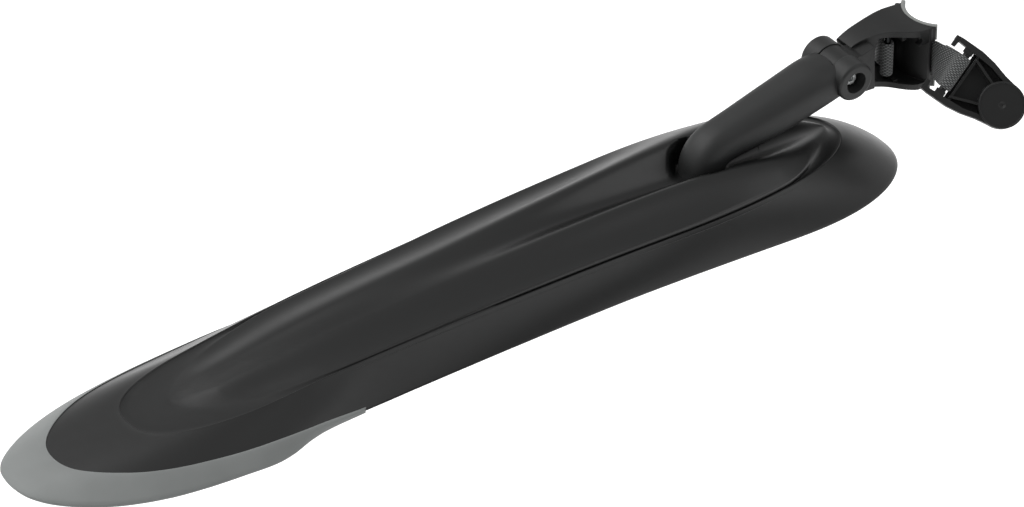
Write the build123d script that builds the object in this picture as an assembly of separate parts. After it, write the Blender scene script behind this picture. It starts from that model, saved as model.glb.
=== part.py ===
from build123d import *
import math
import os

# Frame: the origin is the middle of the seat post clamp, X points forward, Y to the far side, Z up the post.

# Seat post clamp
POST_RADIUS = 17.45
CLAMP_HEIGHT = 36.0
PAD_THICKNESS = 2.2
PAD_HALF_ANGLE = 56.0
NOSE_ANGLE = 47.0
SADDLE_WALL = 3.0
BRACKET_WIDTH = 29.0
BRACKET_WALL = 3.2

# Webbing strap
STRAP_WIDTH = 19.0
STRAP_THICKNESS = 1.6
STRAP_ROOM = 0.6
TIP_ANGLE = 38.0
NEAR_WRAP = 44.0
FAR_WRAP = 128.0
ANCHOR_PIN_RADIUS = 1.6

# Tilt hinge
HINGE_REACH = 65.0
HINGE_HEIGHT = 5.5
CHEEK_RADIUS = 10.3
CHEEK_FACE = 16.5
CHEEK_ROUND = 1.6
CHEEK_ROOM = 1.2
TONGUE_HALF = 6.0
RUNNING_GAP = 0.3
BOLT_RADIUS = 2.5
BOLT_FIT = 0.05
BOLT_HEAD_RADIUS = 3.5
BOLT_HEAD_HEIGHT = 3.5
RECESS_RADIUS = 5.75
RECESS_DEPTH = 7.9
NUT_FLATS = 8.0
NUT_HEIGHT = 4.0

# Clamp lever
LEVER_PLACE = (-16.36, -33.52, 2.6)
LEVER_ALONG = (0.4764, -0.7464, -0.4665)
LEVER_FACE = (-0.464, -0.663, 0.588)
LEVER_HALF_WIDTH = 16.4
LEVER_WALL = 3.2
LEVER_DEPTH = 9.0
LEVER_DISC_RADIUS = 11.9
LEVER_DISC_REACH = 28.7
LEVER_TAIL = 9.5
CROSSBAR_RADIUS = 1.9
CROSSBAR_FIT = 0.08

# Blade
BLADE_LENGTH = 518.0
BLADE_HALF_WIDTH = 47.0
CROWN_HEIGHT = 38.0
BLADE_WALL = 2.2
PANEL_DEPTH = 2.5
PANEL_INSET = 1.2
LIP_HEIGHT = 0.9
LIP_LAP = 0.4
BLADE_REACH = 552.0
BLADE_DROP = 48.5

# Bracket lines: share of the way from the hinge to the saddle, then level from the top, the foot or the middle
BRACKET_ROOF = [(0.0, -5.4), (0.157, -2.5), (0.33, -0.7), (0.508, 0.7), (0.65, 1.2), (0.828, 0.7), (1.0, 0.0)]
BRACKET_FLOOR = [(1.0, 1.0), (0.69, 2.2), (0.35, 3.8), (0.13, 5.0), (0.0, 9.0)]
BRACKET_HOLLOW = [(0.34, 14.6), (0.6, 15.7), (1.48, 15.4), (1.48, -14.2), (0.69, -12.6), (0.35, -11.0), (0.22, -9.8)]
BRACKET_BROW = [(0.76, -0.975), (0.58, -0.66), (0.45, -0.325), (0.26, -0.07), (0.09, 0.085), (0.0, 0.12)]

# Soft tail edge
EDGE_HALF_WIDTH = 50.4
EDGE_THICKNESS = 2.2
EDGE_PROUD = 0.4

# Stay arm
FOOT_REACH = 148.0
FOOT_HALF_LENGTH = 10.5
FOOT_HALF_WIDTH = 11.5
FOOT_LEVEL = 23.4
FOOT_PAD_MARGIN = 2.0
ARM_SQUARE = 0.8
ARM_TILT = 13.5
# Straight run of the arm: distance behind the hinge, drop below it, half height and half width
ARM_LINE = [(56.0, 12.5, 11.3, 11.6), (45.0, 10.2, 11.8, 12.2), (34.0, 7.6, 11.9, 12.7), (23.0, 4.8, 11.8, 13.2),
            (12.0, 2.3, 11.2, 13.6), (0.0, 0.0, 10.1, 13.4)]
SCREW_SPREAD = 10.0
SCREW_RADIUS = 2.0
SCREW_HEAD_RADIUS = 3.6
SCREW_HEAD_HEIGHT = 2.4
SCREW_LENGTH = 14.0

# Panel that stands on the tray: ends in percent of the length, lanes of its sections in shares of the half width
PANEL_TAIL = 17.3
PANEL_FRONT = 92.7
PANEL_LANES = [0.14, 0.28, 0.42, 0.56, 0.69, 0.8, 0.88, 0.925, 0.96, 0.995, 1.03, 1.08]

# Lines of the blade: station in percent of the length, then level in percent of the crown height
RIM_LINE = [(3.9, 19.7), (7.7, 13.2), (11.6, 7.4), (15.4, 4.7), (19.3, 5.8), (23.2, 7.9), (28.0, 11.1),
            (32.8, 13.2), (38.6, 15.3), (50.2, 16.6), (61.8, 15.8), (69.5, 12.1), (77.2, 6.6), (88.8, -2.6),
            (94.6, -5.3), (100.0, -5.3)]
STEP_LINE = [(12.7, 38.4), (19.3, 42.6), (23.2, 45.3), (27.0, 49.7), (30.9, 54.5), (38.6, 59.5), (46.3, 62.1),
             (54.1, 63.7), (61.8, 64.7), (69.5, 63.9), (77.2, 62.1), (84.9, 58.4), (90.7, 53.2), (94.0, 50.0)]
CREST_LINE = [(15.0, 36.0), (17.3, 42.0), (18.2, 47.0), (19.6, 52.2), (21.6, 56.6), (27.0, 64.5), (32.8, 71.1),
              (38.6, 77.6), (44.8, 82.9), (50.2, 87.9), (57.9, 94.5), (61.8, 96.8), (67.6, 99.2), (73.9, 98.4),
              (80.1, 93.4), (84.9, 84.2), (88.8, 71.1), (91.0, 62.4), (92.7, 57.0), (95.0, 52.0)]
# Depth of the hollow under the crest, in percent of the crown height
HOLLOW_LINE = [(12.7, 0.0), (17.4, -1.3), (27.0, -2.4), (32.8, -2.1), (38.6, -0.3), (44.8, 3.9), (50.2, 9.5),
               (57.9, 18.2), (61.8, 23.2), (67.6, 30.8), (73.9, 36.6), (77.2, 37.4), (80.1, 35.5), (84.9, 27.6),
               (88.8, 17.1), (91.7, 5.3), (94.0, 0.0)]
# Step from the tray up to the edge of the panel, in millimetres
RISER_LINE = [(17.3, 0.1), (30.0, 0.4), (41.0, 1.0), (55.0, 2.2), (70.0, 2.4), (92.7, 2.2)]
# Half width of the crest, in percent of the half width of the blade
CREST_PLAN = [(15.0, 4.0), (17.4, 5.0), (19.2, 9.0), (21.2, 12.8), (27.0, 17.0), (32.8, 21.3), (38.6, 25.5),
              (44.8, 28.1), (50.2, 31.9), (57.9, 34.0), (61.8, 35.3), (67.6, 36.6), (73.9, 38.3), (80.1, 41.5),
              (84.9, 43.6), (87.8, 40.4), (89.8, 31.9), (91.7, 19.0), (94.0, 6.0)]
# Soft edge: station of the rim it hangs on, station and half width of its outer line, level, share of the skirt
EDGE_LINE = [(3.9, 0.0, 0.0, 17.0, 0.17), (4.6, 0.5, 26.0, 16.4, 0.19), (5.8, 1.9, 43.5, 13.0, 0.22),
             (7.7, 4.5, 62.5, 8.8, 0.26), (10.4, 7.7, 78.0, 5.6, 0.28), (13.5, 11.6, 90.0, 3.4, 0.27),
             (16.4, 15.4, 96.6, 2.4, 0.24), (19.3, 19.3, 99.6, 1.0, 0.21), (22.2, 22.6, 100.0, -1.2, 0.18),
             (24.3, 24.7, 98.0, 0.6, 0.165), (26.4, 26.8, 94.6, 6.6, 0.15), (28.6, 28.8, 93.4, 10.4, 0.14),
             (32.8, 32.8, 93.4, 12.6, 0.12)]


def along(table, s):
    """Height of a smooth line through a table of stations."""
    n = len(table)
    s = min(max(s, table[0][0]), table[-1][0])
    i = 0
    while i < n - 2 and s > table[i + 1][0]:
        i += 1

    def slope(k):
        lo = max(k - 1, 0)
        hi = min(k + 1, n - 1)
        return (table[hi][1] - table[lo][1]) / (table[hi][0] - table[lo][0])

    h = table[i + 1][0] - table[i][0]
    t = (s - table[i][0]) / h
    ends = (1 + 2 * t) * (1 - t) ** 2 * table[i][1] + t * t * (3 - 2 * t) * table[i + 1][1]
    return ends + h * (t * (1 - t) ** 2 * slope(i) + t * t * (t - 1) * slope(i + 1))


def column(table, k):
    """One column of a table against its first column."""
    return [(row[0], row[k]) for row in table]


def rounded(s, tail, tail_run, tail_power, front, front_run, front_power):
    """Share of the full width near the rounded ends of an oval."""
    f = 1.0
    if s < tail + tail_run:
        q = min(1.0, (tail + tail_run - s) / tail_run)
        f *= (1 - q ** tail_power) ** (1 / tail_power)
    if s > front - front_run:
        q = min(1.0, (s - front + front_run) / front_run)
        f *= (1 - q ** front_power) ** (1 / front_power)
    return f


def rim_half(s):
    return BLADE_HALF_WIDTH * rounded(s, 3.9, 25.1, 2.1, 100.0, 18.3, 2.4)


def step_half(s):
    spread = 0.666 + (s - 30.9) * 0.00358
    return BLADE_HALF_WIDTH * spread * rounded(s, 12.7, 14.5, 2.7, 94.0, 24.0, 2.1)


def panel_half(s):
    return max(0.0, step_half(s) - PANEL_INSET) * rounded(s, PANEL_TAIL, 17.0, 2.0, PANEL_FRONT, 9.5, 2.0)


def place(s, y, level):
    """Point from a station, a side distance and a level in percent."""
    x = s * BLADE_LENGTH / 100 - BLADE_REACH
    return Vector(x, y, level * CROWN_HEIGHT / 100 - BLADE_DROP)


def skirt_ends(phi):
    """Rim point and step point of the near skirt at one angle round the oval."""
    t = (1 - math.cos(phi)) / 2
    side = -1.0 if math.sin(phi) >= 0 else 1.0
    sr = 3.9 + t * 96.1
    ss = 12.7 + t * 81.3
    rim = place(sr, side * rim_half(sr), along(RIM_LINE, sr))
    step = place(ss, side * step_half(ss), along(STEP_LINE, ss))
    return t, rim, step


SKIRT_BULGE = [(0.0, -0.6), (0.15, -2.2), (0.3, 0.3), (0.5, 1.0), (0.8, 1.0), (1.0, 1.4)]


def skirt_point(phi, rho, lift=0.0):
    """Point on the near skirt, from the rim at 0 to the step at 1."""
    t, rim, step = skirt_ends(phi)
    run = step - rim
    flat = math.hypot(run.X, run.Y)
    out = Vector(-run.X / flat * run.Z, -run.Y / flat * run.Z, flat).normalized()
    return rim + run * rho + out * (along(SKIRT_BULGE, t) * 4 * rho * (1 - rho) + lift)


def surface(rows):
    return Face.make_surface_from_array_of_points(rows, tol=0.04, min_deg=3, max_deg=6)


def thick(face, depth):
    """Sheet of the given depth below a surface."""
    down = face.normal_at(face.center()).Z < 0
    return Solid.thicken(face, depth if down else -depth)


def whole(shapes):
    """One solid from overlapping shapes."""
    total = shapes[0]
    for shape in shapes[1:]:
        total = total + shape
    return total


def along_y(radius, x, z, y0, y1):
    """Cylinder across the guard."""
    rod = Cylinder(radius, abs(y1 - y0), rotation=(90, 0, 0))
    return Pos(x, (y0 + y1) / 2, z) * rod


def upright(radius, x, y, z0, z1):
    return Pos(x, y, (z0 + z1) / 2) * Cylinder(radius, z1 - z0)


def block(x0, x1, y0, y1, z0, z1):
    return Pos((x0 + x1) / 2, (y0 + y1) / 2, (z0 + z1) / 2) * Box(x1 - x0, y1 - y0, z1 - z0)


def side_prism(points, y0, y1):
    """Side view outline carried across from y0 to y1."""
    face = make_face(Polyline(*[(x, y1, z) for x, z in points], close=True))
    return extrude(face, amount=y1 - y0, dir=(0, -1, 0))


def plan_prism(points, z0, z1):
    face = make_face(Polyline(*[(x, y, z0) for x, y in points], close=True))
    return extrude(face, amount=z1 - z0, dir=(0, 0, 1))


HINGE_X = -HINGE_REACH
FOOT_X = -FOOT_REACH
FOOT_Z = FOOT_LEVEL - BLADE_DROP


def near_half(shape):
    return shape & block(-BLADE_REACH - 50, 50, -200, 0, -200, 200)


def make_skirt():
    """Near skirt, running a little past the middle at both ends."""
    lap = 0.10
    count = 44
    rows = []
    for j in range(6):
        rows.append([skirt_point(-lap + (math.pi + 2 * lap) * i / count, j / 5) for i in range(count + 1)])
    return thick(surface(rows), BLADE_WALL)


def oval(half, tail, front, inset):
    """Upright prism inside an oval of the blade, drawn in by inset."""
    ring = []
    for i in range(72):
        angle = math.pi * 2 * i / 72
        s = tail + (front - tail) * (1 - math.cos(angle)) / 2
        spot = place(s, -math.copysign(half(s), math.sin(angle)), 0)
        ring.append((spot.X + inset * math.cos(angle), spot.Y + inset * math.sin(angle), -120))
    return extrude(make_face(Spline(*ring, periodic=True)), amount=240, dir=(0, 0, 1))


def make_blade(skirt):
    near = near_half(skirt)
    far = mirror(near, about=Plane.XZ)

    stations = [11.6, 13.6, 15.4, 16.8, 17.8, 19.0, 20.6, 22.8, 25.6, 29.2]
    stations = stations + [33.4 + 4.4 * k for k in range(12)]
    stations = stations + [85.6, 88.2, 90.2, 91.6, 92.6, 93.6, 95.2]
    panel = loft([panel_slice(s) for s in stations]) & oval(step_half, 12.7, 94.0, -LIP_LAP)

    pad_length = FOOT_HALF_LENGTH + FOOT_PAD_MARGIN
    pad_width = FOOT_HALF_WIDTH + FOOT_PAD_MARGIN
    pad = Pos(FOOT_X, 0, FOOT_Z - 4.5) * extrude(Ellipse(pad_length, pad_width), amount=4.5)
    blade = whole([near, far, panel, pad])
    for x in (FOOT_X - SCREW_SPREAD / 2, FOOT_X + SCREW_SPREAD / 2):
        blade = blade - upright(SCREW_RADIUS + 0.15, x, 0, FOOT_Z - 40, FOOT_Z + 5)
        blade = blade - upright(SCREW_HEAD_RADIUS + 0.6, x, 0, FOOT_Z - 40, FOOT_Z - 3.0)
    room = upright(pad_length + 8, FOOT_X, 0, FOOT_Z, FOOT_Z + 40)
    flat = Pos(FOOT_X, 0, FOOT_Z) * extrude(Ellipse(pad_length, pad_width), amount=40)
    return blade - (room & flat)


def panel_level(s, y):
    """Level of the tray inside the step and of the panel that stands on it, in percent."""
    past = max(0.0, PANEL_TAIL - s, s - PANEL_FRONT) * BLADE_LENGTH / 100
    half = panel_half(s) - past
    crest = max(0.01, min(along(CREST_PLAN, s) * BLADE_HALF_WIDTH / 100, 0.6 * half))
    step = along(STEP_LINE, s)
    edge = step + along(RISER_LINE, s) * 100 / CROWN_HEIGHT
    top = along(CREST_LINE, s)
    if y <= crest:
        inner = top - along(HOLLOW_LINE, s) * (1 - (y / crest) ** 2) ** 2
    else:
        q = min(1.0, (y - crest) / max(half - crest, 0.3))
        ease = 0.14
        inner = top + (edge - top) * (math.hypot(q, ease) - ease) / (math.hypot(1, ease) - ease)
    tray = step - LIP_HEIGHT * 100 / CROWN_HEIGHT
    share = min(1.0, max(0.0, (half + 0.5 - y) / 2.0))
    return tray + (inner - tray) * share * share * (3 - 2 * share)


def panel_slice(s):
    """Closed section across the panel, a little wider than the step, with lanes close together at its edge."""
    wide = max(18.0, step_half(min(max(s, 14.0), 92.0)))
    lanes = [wide * c for c in PANEL_LANES]
    lanes = [-y for y in lanes[::-1]] + [0.0] + lanes
    points = [place(s, y, panel_level(s, abs(y))) for y in lanes]
    shares = [(y - lanes[0]) / (lanes[-1] - lanes[0]) for y in lanes]
    upper = Edge.make_spline(points, parameters=shares)
    lower = Edge.make_spline([spot - Vector(0, 0, PANEL_DEPTH) for spot in points], parameters=shares)
    left = Edge.make_line(upper @ 0, lower @ 0)
    right = Edge.make_line(upper @ 1, lower @ 1)
    return Face(Wire([upper, right, lower, left]))


def make_tail_edge(skirt):
    lap = 0.02
    rows = []
    count = 40
    last = math.acos(1 - 2 * (32.8 - 3.9) / 96.1)
    for j in range(5):
        row = []
        for i in range(count + 1):
            phi = -lap * 4 + (last + lap * 4) * i / count
            sr = 3.9 + (1 - math.cos(phi)) / 2 * 96.1
            side = -1.0 if phi >= 0 else 1.0
            share = along(column(EDGE_LINE, 4), sr)
            outer = place(along(column(EDGE_LINE, 1), sr), 0, along(column(EDGE_LINE, 3), sr))
            q = max(0.0, (sr - 3.9) / 28.9)
            wide = EDGE_HALF_WIDTH / 100 * along(EDGE_WIDE, math.sqrt(q))
            outer = Vector(outer.X, side * wide, outer.Z)
            inner = skirt_point(phi, share, EDGE_PROUD)
            middle = skirt_point(phi, 0.0, EDGE_PROUD * 2.5)
            t = j / 4
            bend = inner * ((1 - t) ** 2) + middle * (2 * t * (1 - t)) + outer * (t * t)
            row.append(bend)
        rows.append(row)
    near = near_half(thick(surface(rows), EDGE_THICKNESS) - skirt)
    return near + mirror(near, about=Plane.XZ)


EDGE_WIDE = [(math.sqrt((row[0] - 3.9) / 28.9), row[2]) for row in EDGE_LINE]


def arm_section(x, z, tilt, half_high, half_wide):
    """Squarish oval across the arm, leaning by tilt from upright."""
    lean = math.radians(tilt)
    across = Plane(origin=(x, 0, z), x_dir=(0, 1, 0), z_dir=(math.cos(lean), 0, math.sin(lean)))
    ring = []
    for i in range(16):
        c = math.cos(math.pi * i / 8)
        s = math.sin(math.pi * i / 8)
        wide = math.copysign(abs(c) ** ARM_SQUARE, c) * half_wide
        high = math.copysign(abs(s) ** ARM_SQUARE, s) * half_high
        ring.append((wide, high))
    return across * make_face(Spline(*ring, periodic=True))


def make_arm():
    hx, hz = HINGE_X, HINGE_HEIGHT
    sections = [
        arm_section(FOOT_X, FOOT_Z, 90, FOOT_HALF_LENGTH, FOOT_HALF_WIDTH),
        arm_section(FOOT_X + 0.4, FOOT_Z + 5.5, 84, FOOT_HALF_LENGTH, FOOT_HALF_WIDTH),
        arm_section(FOOT_X + 5.0, FOOT_Z + 12.2, 50, FOOT_HALF_LENGTH, FOOT_HALF_WIDTH - 0.2),
        arm_section(hx - 67.0, hz - 14.6, 20, FOOT_HALF_LENGTH + 0.2, FOOT_HALF_WIDTH - 0.4),
    ]
    for back, drop, half_high, half_wide in ARM_LINE:
        sections.append(arm_section(hx - back, hz - drop, ARM_TILT, half_high, half_wide))
    arm = loft(sections)
    knuckle = along_y(CHEEK_RADIUS, hx, hz, -CHEEK_FACE, CHEEK_FACE)
    knuckle = fillet(knuckle.edges(), CHEEK_ROUND)
    arm = arm + knuckle
    slot_half = TONGUE_HALF + RUNNING_GAP
    arm = arm - along_y(CHEEK_RADIUS + 0.6, hx, hz, -slot_half, slot_half)
    arm = arm - block(hx - 2, hx + 60, -slot_half, slot_half, hz - 40, hz + 40)
    arm = arm - along_y(BOLT_RADIUS + 0.1, hx, hz, -30, 30)
    floor = CHEEK_FACE - RECESS_DEPTH
    mouth = Plane(origin=(hx, -CHEEK_FACE - 0.01, hz), x_dir=(1, 0, 0), z_dir=(0, 1, 0))
    recess = extrude(mouth * Circle(RECESS_RADIUS), amount=RECESS_DEPTH + 0.01, taper=8)
    arm = arm - recess
    pocket = Plane(origin=(hx, floor, hz), x_dir=(1, 0, 0), z_dir=(0, 1, 0))
    hexagon = RegularPolygon(NUT_FLATS / 2 + 0.15, 6, major_radius=False)
    arm = arm - extrude(pocket * hexagon, amount=RECESS_DEPTH + 1)
    for x in (FOOT_X - SCREW_SPREAD / 2, FOOT_X + SCREW_SPREAD / 2):
        arm = arm - upright(SCREW_RADIUS + 0.02, x, 0, FOOT_Z - 1, FOOT_Z + SCREW_LENGTH - 2.5)
    return arm


def make_foot_screws():
    screws = []
    top = FOOT_Z + SCREW_LENGTH - 3.0
    for x in (FOOT_X - SCREW_SPREAD / 2, FOOT_X + SCREW_SPREAD / 2):
        head = upright(SCREW_HEAD_RADIUS, x, 0, FOOT_Z - 3.0 - SCREW_HEAD_HEIGHT, FOOT_Z - 3.0)
        head = fillet(head.edges().sort_by(Axis.Z)[0], 1.0)
        shank = upright(SCREW_RADIUS, x, 0, FOOT_Z - 3.0, top)
        socket = upright(1.1, x, 0, FOOT_Z - 3.0 - SCREW_HEAD_HEIGHT - 1, FOOT_Z - 3.0 - SCREW_HEAD_HEIGHT + 1.2)
        screws.append((head + shank) - socket)
    return Compound(children=screws)


def make_hinge_bolt():
    hx, hz = HINGE_X, HINGE_HEIGHT
    floor = CHEEK_FACE - RECESS_DEPTH
    head = along_y(BOLT_HEAD_RADIUS, hx, hz, -floor - BOLT_HEAD_HEIGHT, -floor)
    head = fillet(head.edges().sort_by(Axis.Y)[0], 0.5)
    shank = along_y(BOLT_RADIUS, hx, hz, -floor, floor + NUT_HEIGHT + 1.0)
    face = Plane(origin=(hx, -floor - BOLT_HEAD_HEIGHT, hz), x_dir=(1, 0, 0), z_dir=(0, 1, 0))
    key = extrude(face * RegularPolygon(1.75, 6), amount=2.0)
    return (head + shank) - key


def make_hinge_nut():
    floor = CHEEK_FACE - RECESS_DEPTH
    seat = Plane(origin=(HINGE_X, floor, HINGE_HEIGHT), x_dir=(1, 0, 0), z_dir=(0, 1, 0))
    nut = extrude(seat * RegularPolygon(NUT_FLATS / 2, 6, major_radius=False), amount=NUT_HEIGHT)
    return nut - along_y(BOLT_RADIUS, HINGE_X, HINGE_HEIGHT, 0, 40)


SADDLE_RADIUS = POST_RADIUS + PAD_THICKNESS
SADDLE_BACK = SADDLE_RADIUS + SADDLE_WALL
HALF = CLAMP_HEIGHT / 2
SLOT_HALF = STRAP_WIDTH / 2 + STRAP_ROOM
ANCHOR_X = -(SADDLE_BACK + 11.0)
ANCHOR_Y = -1.0
STRAP_RADIUS = SADDLE_RADIUS - 0.3 - STRAP_THICKNESS / 2
TIP_RADIUS = SADDLE_RADIUS + SADDLE_WALL / 2
WRAP_RADIUS = TIP_RADIUS - STRAP_RADIUS
PIN_LOW = -HALF + 4.4
PIN_HIGH = HALF - 1.0


def tip_spot(side):
    a = math.radians(TIP_ANGLE)
    return Vector(-TIP_RADIUS * math.cos(a), side * TIP_RADIUS * math.sin(a), 0)


def make_bracket():
    hx, hz = HINGE_X, HINGE_HEIGHT
    back = hx + CHEEK_RADIUS
    wide = BRACKET_WIDTH / 2
    nose = -SADDLE_RADIUS * math.cos(math.radians(NOSE_ANGLE))
    run = nose - back
    y = wide + 20
    roof = Spline(*[(back + run * share, y, HALF + rise) for share, rise in BRACKET_ROOF])
    floor = [(back + run * share, y, rise - HALF) for share, rise in BRACKET_FLOOR]
    keel = Polyline(roof @ 1, *floor, roof @ 0)
    side = extrude(make_face([roof, keel]), amount=2 * y, dir=(0, -1, 0))
    brow = Spline(*[(back + run * share, wide * out, -60) for share, out in BRACKET_BROW])
    ends = [(nose, wide * BRACKET_BROW[0][1], -60), (nose, wide, -60), (back, wide - 0.8, -60)]
    rest = Polyline(brow @ 0, *ends, brow @ 1)
    plan = extrude(make_face([brow, rest]), amount=120, dir=(0, 0, 1))
    body = side & plan
    body = fillet(body.edges().filter_by(lambda e: e.center().Z > HALF - 3 and e.center().Y > wide - 2), 1.8)

    wall = BRACKET_WALL
    hollow = [(back + run * share, rise) for share, rise in BRACKET_HOLLOW]
    cavity = side_prism(hollow, -40, wide - wall)
    cavity = cavity - upright(SADDLE_BACK, 0, 0, -60, 60)
    body = body - cavity
    body = body - upright(SADDLE_RADIUS, 0, 0, -60, 60)

    keeper = SLOT_HALF
    lip = block(nose - 10.5, nose, -wide - 1, -wide + 4.0, keeper, HALF)
    body = body + (lip & plan) - upright(SADDLE_RADIUS, 0, 0, -60, 60)
    body = body - Pos(nose - 10.2, -wide + 2, HALF - 5.2) * Cylinder(1.9, 30, rotation=(90, 0, 0))
    for x, y, z in ((nose - 15.5, -8.4, HALF - wall - 0.6), (nose - 18.5, -6.6, -HALF + wall + 2.2)):
        body = body + block(x - 1.3, x + 1.3, y, y + 3.4, z - 1.6, z + 1.6)

    for sign in (-1, 1):
        spot = tip_spot(sign)
        body = body - upright(WRAP_RADIUS + STRAP_THICKNESS / 2 + 0.35, spot.X, spot.Y, -keeper, keeper)
        body = body - (block(spot.X - 1.0, 20, sign * spot.Y - 40, sign * spot.Y + 40, -keeper, keeper))
    a = math.radians(TIP_ANGLE)
    far = SADDLE_BACK + 40
    wedge = [(0, 0), (-far * math.cos(a), far * math.sin(a)), (-far, 0), (-far * math.cos(a), -far * math.sin(a))]
    saddle = upright(SADDLE_BACK, 0, 0, -HALF, HALF) - upright(SADDLE_RADIUS, 0, 0, -60, 60)
    saddle = saddle & plan_prism(wedge, -60, 60)
    body = body + saddle
    for sign in (-1, 1):
        spot = tip_spot(sign)
        body = body + upright(SADDLE_WALL / 2, spot.X, spot.Y, -HALF, HALF)
    body = body - block(ANCHOR_X - 2.5, ANCHOR_X + 9.0, wide - wall - 6, wide + 5, -keeper, keeper)

    for sign in (-1, 1):
        y0, y1 = sorted((sign * (TONGUE_HALF + 0.01), sign * 40))
        body = body - along_y(CHEEK_RADIUS + CHEEK_ROOM, hx, hz, y0, y1)
    tongue = along_y(CHEEK_RADIUS - 0.5, hx, hz, -TONGUE_HALF, TONGUE_HALF)
    neck = [(hx, hz + 8.0), (back + 1, HALF - 6.2), (back + 9, HALF - 4.0), (back + 10, -HALF + 6.6),
            (back + 3, -HALF + 7.2), (hx, hz - 8.5)]
    body = whole([body, tongue, side_prism(neck, -TONGUE_HALF, TONGUE_HALF)])
    body = body - along_y(BOLT_RADIUS + BOLT_FIT, hx, hz, -30, 30)
    return body - upright(ANCHOR_PIN_RADIUS, ANCHOR_X, ANCHOR_Y, PIN_LOW, PIN_HIGH)


def make_saddle_pads():
    a = math.radians(PAD_HALF_ANGLE)
    far = 60
    wedge = [(0, 0), (-far * math.cos(a), far * math.sin(a)), (-far, 0), (-far * math.cos(a), -far * math.sin(a))]
    pads = []
    for z0, z1 in ((SLOT_HALF, HALF), (-HALF, -SLOT_HALF)):
        ring = upright(SADDLE_RADIUS, 0, 0, z0, z1) - upright(POST_RADIUS, 0, 0, z0 - 1, z1 + 1)
        pads.append(ring & plan_prism(wedge, -60, 60))
    return Compound(children=pads)


def make_anchor_pin():
    return upright(ANCHOR_PIN_RADIUS, ANCHOR_X, ANCHOR_Y, PIN_LOW, PIN_HIGH)


def lever_plane():
    return Plane(origin=LEVER_PLACE, x_dir=LEVER_ALONG, z_dir=LEVER_FACE)


def make_strap():
    half = STRAP_WIDTH / 2
    t = STRAP_THICKNESS
    near, far = tip_spot(-1), tip_spot(1)
    a = math.radians(TIP_ANGLE)
    ring = upright(STRAP_RADIUS + t / 2, 0, 0, -half, half) - upright(STRAP_RADIUS - t / 2, 0, 0, -half, half)
    reach = 60
    wedge = [(0, 0), (-reach * math.cos(a), reach * math.sin(a)), (-reach, 0),
             (-reach * math.cos(a), -reach * math.sin(a))]
    pieces = [ring & plan_prism(wedge, -60, 60)]

    def wrap(spot, start, sweep):
        """Bend round a saddle tip, angles in degrees about the tip."""
        arc = CenterArc((spot.X, spot.Y), WRAP_RADIUS, start, sweep)
        return extrude(Pos(0, 0, -half) * trace(arc, line_width=t), amount=2 * half), arc

    loop = CROSSBAR_RADIUS + CROSSBAR_FIT + t / 2

    bend, arc = wrap(near, TIP_ANGLE, -NEAR_WRAP)
    pieces.append(bend)
    leave = arc @ 1

    bend, arc = wrap(far, -TIP_ANGLE, FAR_WRAP)
    pieces.append(bend)
    behind = arc @ 1
    slot_y = BRACKET_WIDTH / 2
    run = [(behind.X, behind.Y), (ANCHOR_X + 6.5, slot_y + 0.9), (ANCHOR_X + 2.2, slot_y - 3.0),
           (ANCHOR_X + ANCHOR_PIN_RADIUS + 0.8, ANCHOR_Y)]
    pieces.append(extrude(Pos(0, 0, -half) * trace(Polyline(*run), line_width=t), amount=2 * half))
    hold = upright(ANCHOR_PIN_RADIUS + 0.05 + t, ANCHOR_X, ANCHOR_Y, -half, half)
    pieces.append(hold)

    plane = lever_plane()
    across = plane.y_dir
    end = Vector(*LEVER_PLACE)
    start = Vector(leave.X, leave.Y, 0)
    sections = []
    steps = 4
    for i in range(steps + 1):
        k = i / steps
        spot = start + (end - start) * k
        wide_dir = (Vector(0, 0, 1) * (1 - k) + across * k).normalized()
        go = (end - start).normalized()
        frame = Plane(origin=spot, x_dir=wide_dir, z_dir=go - wide_dir * go.dot(wide_dir))
        sections.append(frame * Rectangle(STRAP_WIDTH, t))
    pieces.append(loft(sections))
    roll = plane * (Rot(90, 0, 0) * Cylinder(loop + t / 2, STRAP_WIDTH))
    pieces.append(roll)
    strap = whole(pieces)
    strap = strap - upright(ANCHOR_PIN_RADIUS + 0.05, ANCHOR_X, ANCHOR_Y, -60, 60)
    return strap - plane * (Rot(90, 0, 0) * Cylinder(CROSSBAR_RADIUS + CROSSBAR_FIT, 60))


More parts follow.
